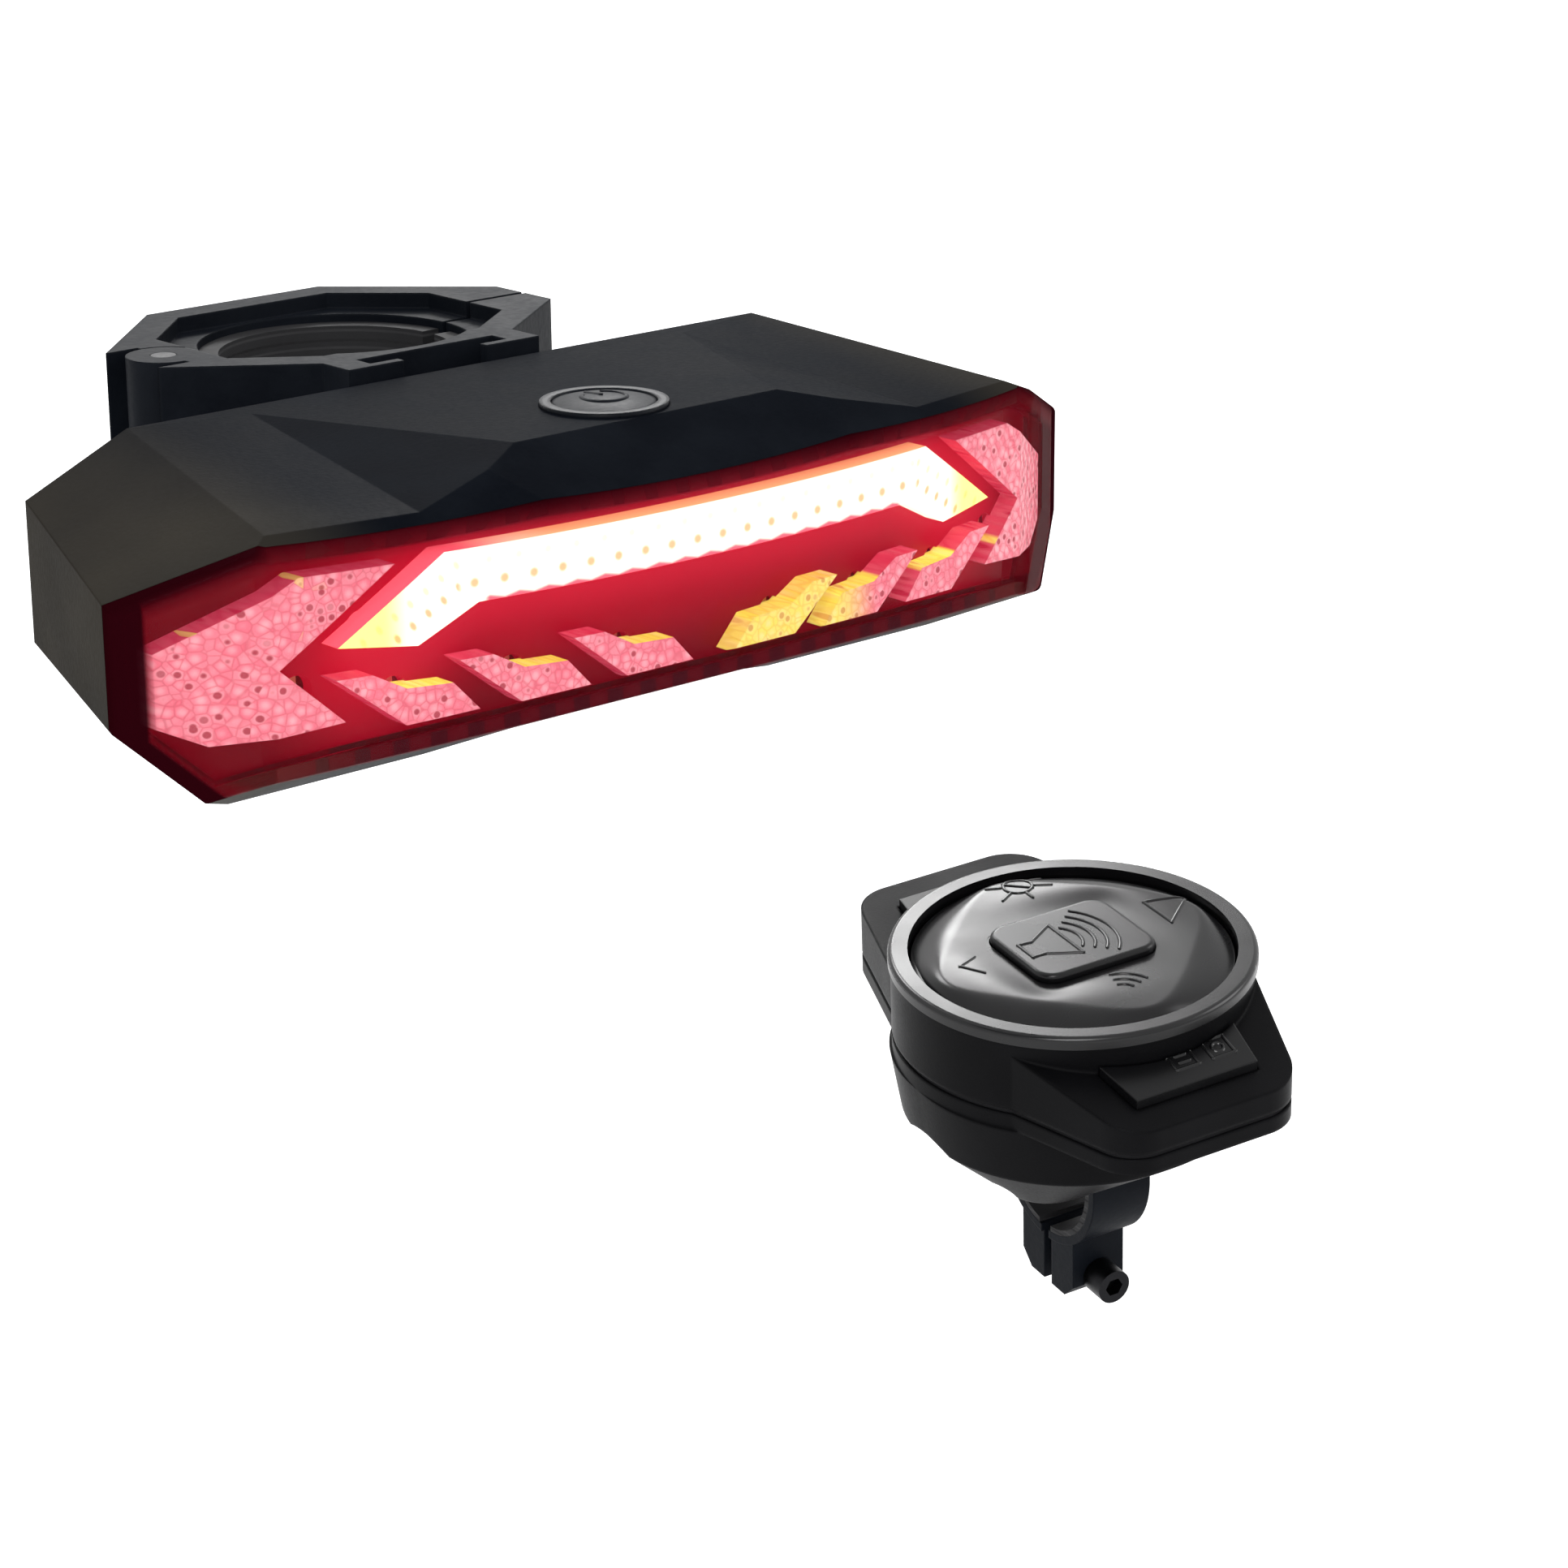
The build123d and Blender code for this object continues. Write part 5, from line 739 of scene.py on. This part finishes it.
class TURNLIGHT_OT_marks(bpy.types.Operator):
    """Add the remote's moulded marks: lamp, arrows, waves, horn and two small squares"""

    bl_idname = "turnlight.marks"
    bl_label = "Remote's marks"

    def execute(self, context):
        remote, sizes = context.scene.remote_colours, context.scene.detail_sizes
        pale = [c * 1.6 for c in remote.pad]
        finish = moulded("mark_gloss", remote.pad, pale, 0.2, 2.4, 0.004, Specular_IOR_Level=0.35)
        on_pad = "rocker_skin", "rocker", PAD_LEVEL
        marks = {
            "right_arrow": (*on_pad, run((15.6, 4.6), (22.6, 3.2), (15.8, -2.6), (15.6, 4.6))),
            "left_arrow": (*on_pad, run((-14.4, 4.2), (-17.6, 2.9), (-15.6, -0.6))),
            "lamp_mark": (
                *on_pad,
                [arc_path((2.6, 19.2), 2.2, 0, 360, 30)]
                + run((-1.8, 21.0), (0.0, 20.2))
                + run((-1.6, 16.6), (0.4, 17.8))
                + run((5.2, 20.2), (7.6, 21.0))
                + run((5.0, 18.0), (7.0, 16.8))
                + run((2.6, 15.0), (2.6, 16.6))
                + run((1.0, 20.8), (4.2, 17.6)),
            ),
            "wave_mark": (*on_pad, [arc_path((-1.4, -15.8), r, 18, 78, 14) for r in (2.0, 3.6, 5.2)]),
            "horn_mark": (
                "horn_key", "horn_key", HORN_LEVEL,
                run(
                    (-8.2, 2.0), (-6.0, 1.8), (-1.2, 4.8), (-1.2, -4.8),
                    (-6.0, -2.2), (-8.2, -2.2), (-8.2, 2.0),
                )
                + [arc_path((-3.6, 0), r, -42, 42, 18) for r in (4.6, 6.4, 8.2, 10.0)],
            ),
            "key_marks": (
                "front_side_key", "front_key", KEY_LEVEL,
                run((-1.6, -26.4), (-1.6, -30.2), (2.2, -30.2), (2.2, -26.4), (-1.6, -26.4))
                + run((-0.4, -27.6), (1.2, -27.6))
                + run((-0.4, -29.0), (1.2, -29.0))
                + run((4.6, -26.4), (4.6, -30.2), (8.4, -30.2), (8.4, -26.4), (4.6, -26.4))
                + [arc_path((6.5, -28.3), 0.9, 0, 360, 16)],
            ),
        }
        for name, (node, body, level, paths) in marks.items():
            centre = REMOTE_CENTRE + REMOTE_TURN @ Vector((0, 0, level * MM))
            piece = ridges(name, paths, centre, REMOTE_TURN, sizes.mark_width, sizes.mark_height)
            settle(piece, bpy.data.objects[node], sizes.mark_height, REMOTE_TURN.col[2])
            piece.data.materials.append(finish.material)
            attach(piece, body)
        return {"FINISHED"}


class TURNLIGHT_OT_stage(bpy.types.Operator):
    """Set up the camera, the pale floor and the soft studio light"""

    bl_idname = "turnlight.stage"
    bl_label = "Studio"

    def execute(self, context):
        scene = context.scene
        scene.view_settings.view_transform = "Standard"
        azimuth, elevation, roll = np.radians(CAMERA_ANGLES)
        level = np.cos(elevation)
        back = Vector((np.sin(azimuth) * level, -np.cos(azimuth) * level, np.sin(elevation)))
        right = Vector((np.cos(azimuth), np.sin(azimuth), 0))
        up = back.cross(right)
        right, up = np.cos(roll) * right + np.sin(roll) * up, -np.sin(roll) * right + np.cos(roll) * up
        camera = bpy.data.objects.new("camera", bpy.data.cameras.new("camera"))
        camera.data.lens, camera.data.sensor_width = CAMERA_LENS, CAMERA_SENSOR
        camera.data.clip_start = CAMERA_NEAR
        axes = Matrix((right, up, back)).transposed().to_4x4()
        camera.matrix_world = Matrix.Translation(Vector(CAMERA_PLACE) * MM) @ axes
        scene.collection.objects.link(camera)
        scene.camera = camera

        for name, (place, aim, size, watts) in SOFT_LIGHTS.items():
            light = bpy.data.lights.new(name, "AREA")
            light.shape, light.size, light.energy = "DISK", size, watts
            piece = bpy.data.objects.new(name, light)
            piece.location = place
            piece.rotation_euler = (Vector(aim) - Vector(place)).to_track_quat("-Z", "Y").to_euler()
            scene.collection.objects.link(piece)

        floor = Finish("pale_floor", Roughness=0.8, Emission_Strength=1.0)
        speck = floor.noise(floor.place(), 0.02, 2.0)
        floor.set("Base Color", floor.mix(speck * 0.3, FLOOR_PALE, FLOOR_SPECK))
        seen = floor.add("ShaderNodeLightPath", output="Is Camera Ray")
        floor.set("Emission Color", floor.mix(seen, FLOOR_GLOW, FLOOR_SEEN))
        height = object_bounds()[0][2] - FLOOR_DROP
        mesh = bpy.data.meshes.new("floor")
        sides = (-1, -1), (1, -1), (1, 1), (-1, 1)
        corners = [(x * FLOOR_REACH, y * FLOOR_REACH, height) for x, y in sides]
        mesh.from_pydata(corners, [], [(0, 1, 2, 3)])
        mesh.materials.append(floor.material)
        ground = bpy.data.objects.new("floor", mesh)
        scene.collection.objects.link(ground)
        ground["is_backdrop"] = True

        world = bpy.data.worlds.new("studio")
        scene.world = world
        world.use_nodes = True
        sky = Nodes(world.node_tree)
        camera_ray, glossy, through = (
            sky.add("ShaderNodeLightPath", output=ray)
            for ray in ("Is Camera Ray", "Is Glossy Ray", "Is Transmission Ray")
        )
        seen = camera_ray.most(glossy).most(through)
        back = world.node_tree.nodes["Background"]
        sky.give(back.inputs["Strength"], SKY_DIM + seen * (1 - SKY_DIM))
        back.inputs["Color"].default_value = (1, 1, 1, 1)
        return {"FINISHED"}


OPERATORS = (
    TURNLIGHT_OT_housing,
    TURNLIGHT_OT_lens,
    TURNLIGHT_OT_guides,
    TURNLIGHT_OT_inside,
    TURNLIGHT_OT_rubber,
    TURNLIGHT_OT_button,
    TURNLIGHT_OT_remote,
    TURNLIGHT_OT_marks,
    TURNLIGHT_OT_stage,
)
GROUPS = {"lamp_colours": LampColours, "remote_colours": RemoteColours, "detail_sizes": DetailSizes}


class TURNLIGHT_PT_steps(bpy.types.Panel):
    """The making steps and their settings"""

    bl_label = "Turn light"
    bl_space_type = "VIEW_3D"
    bl_region_type = "UI"
    bl_category = "Turn light"

    def draw(self, context):
        for step in OPERATORS:
            self.layout.operator(step.bl_idname)
        for name, group in GROUPS.items():
            box = self.layout.box()
            for key in group.__annotations__:
                box.prop(getattr(context.scene, name), key)


def register():
    for kind in (*GROUPS.values(), *OPERATORS, TURNLIGHT_PT_steps):
        bpy.utils.register_class(kind)
    for name, group in GROUPS.items():
        setattr(bpy.types.Scene, name, bpy.props.PointerProperty(type=group))


def unregister():
    for name in GROUPS:
        delattr(bpy.types.Scene, name)
    for kind in reversed((*GROUPS.values(), *OPERATORS, TURNLIGHT_PT_steps)):
        bpy.utils.unregister_class(kind)


def main():
    register()
    for step in OPERATORS:
        area, name = step.bl_idname.split(".")
        getattr(getattr(bpy.ops, area), name)()


if __name__ == "__main__":
    main()
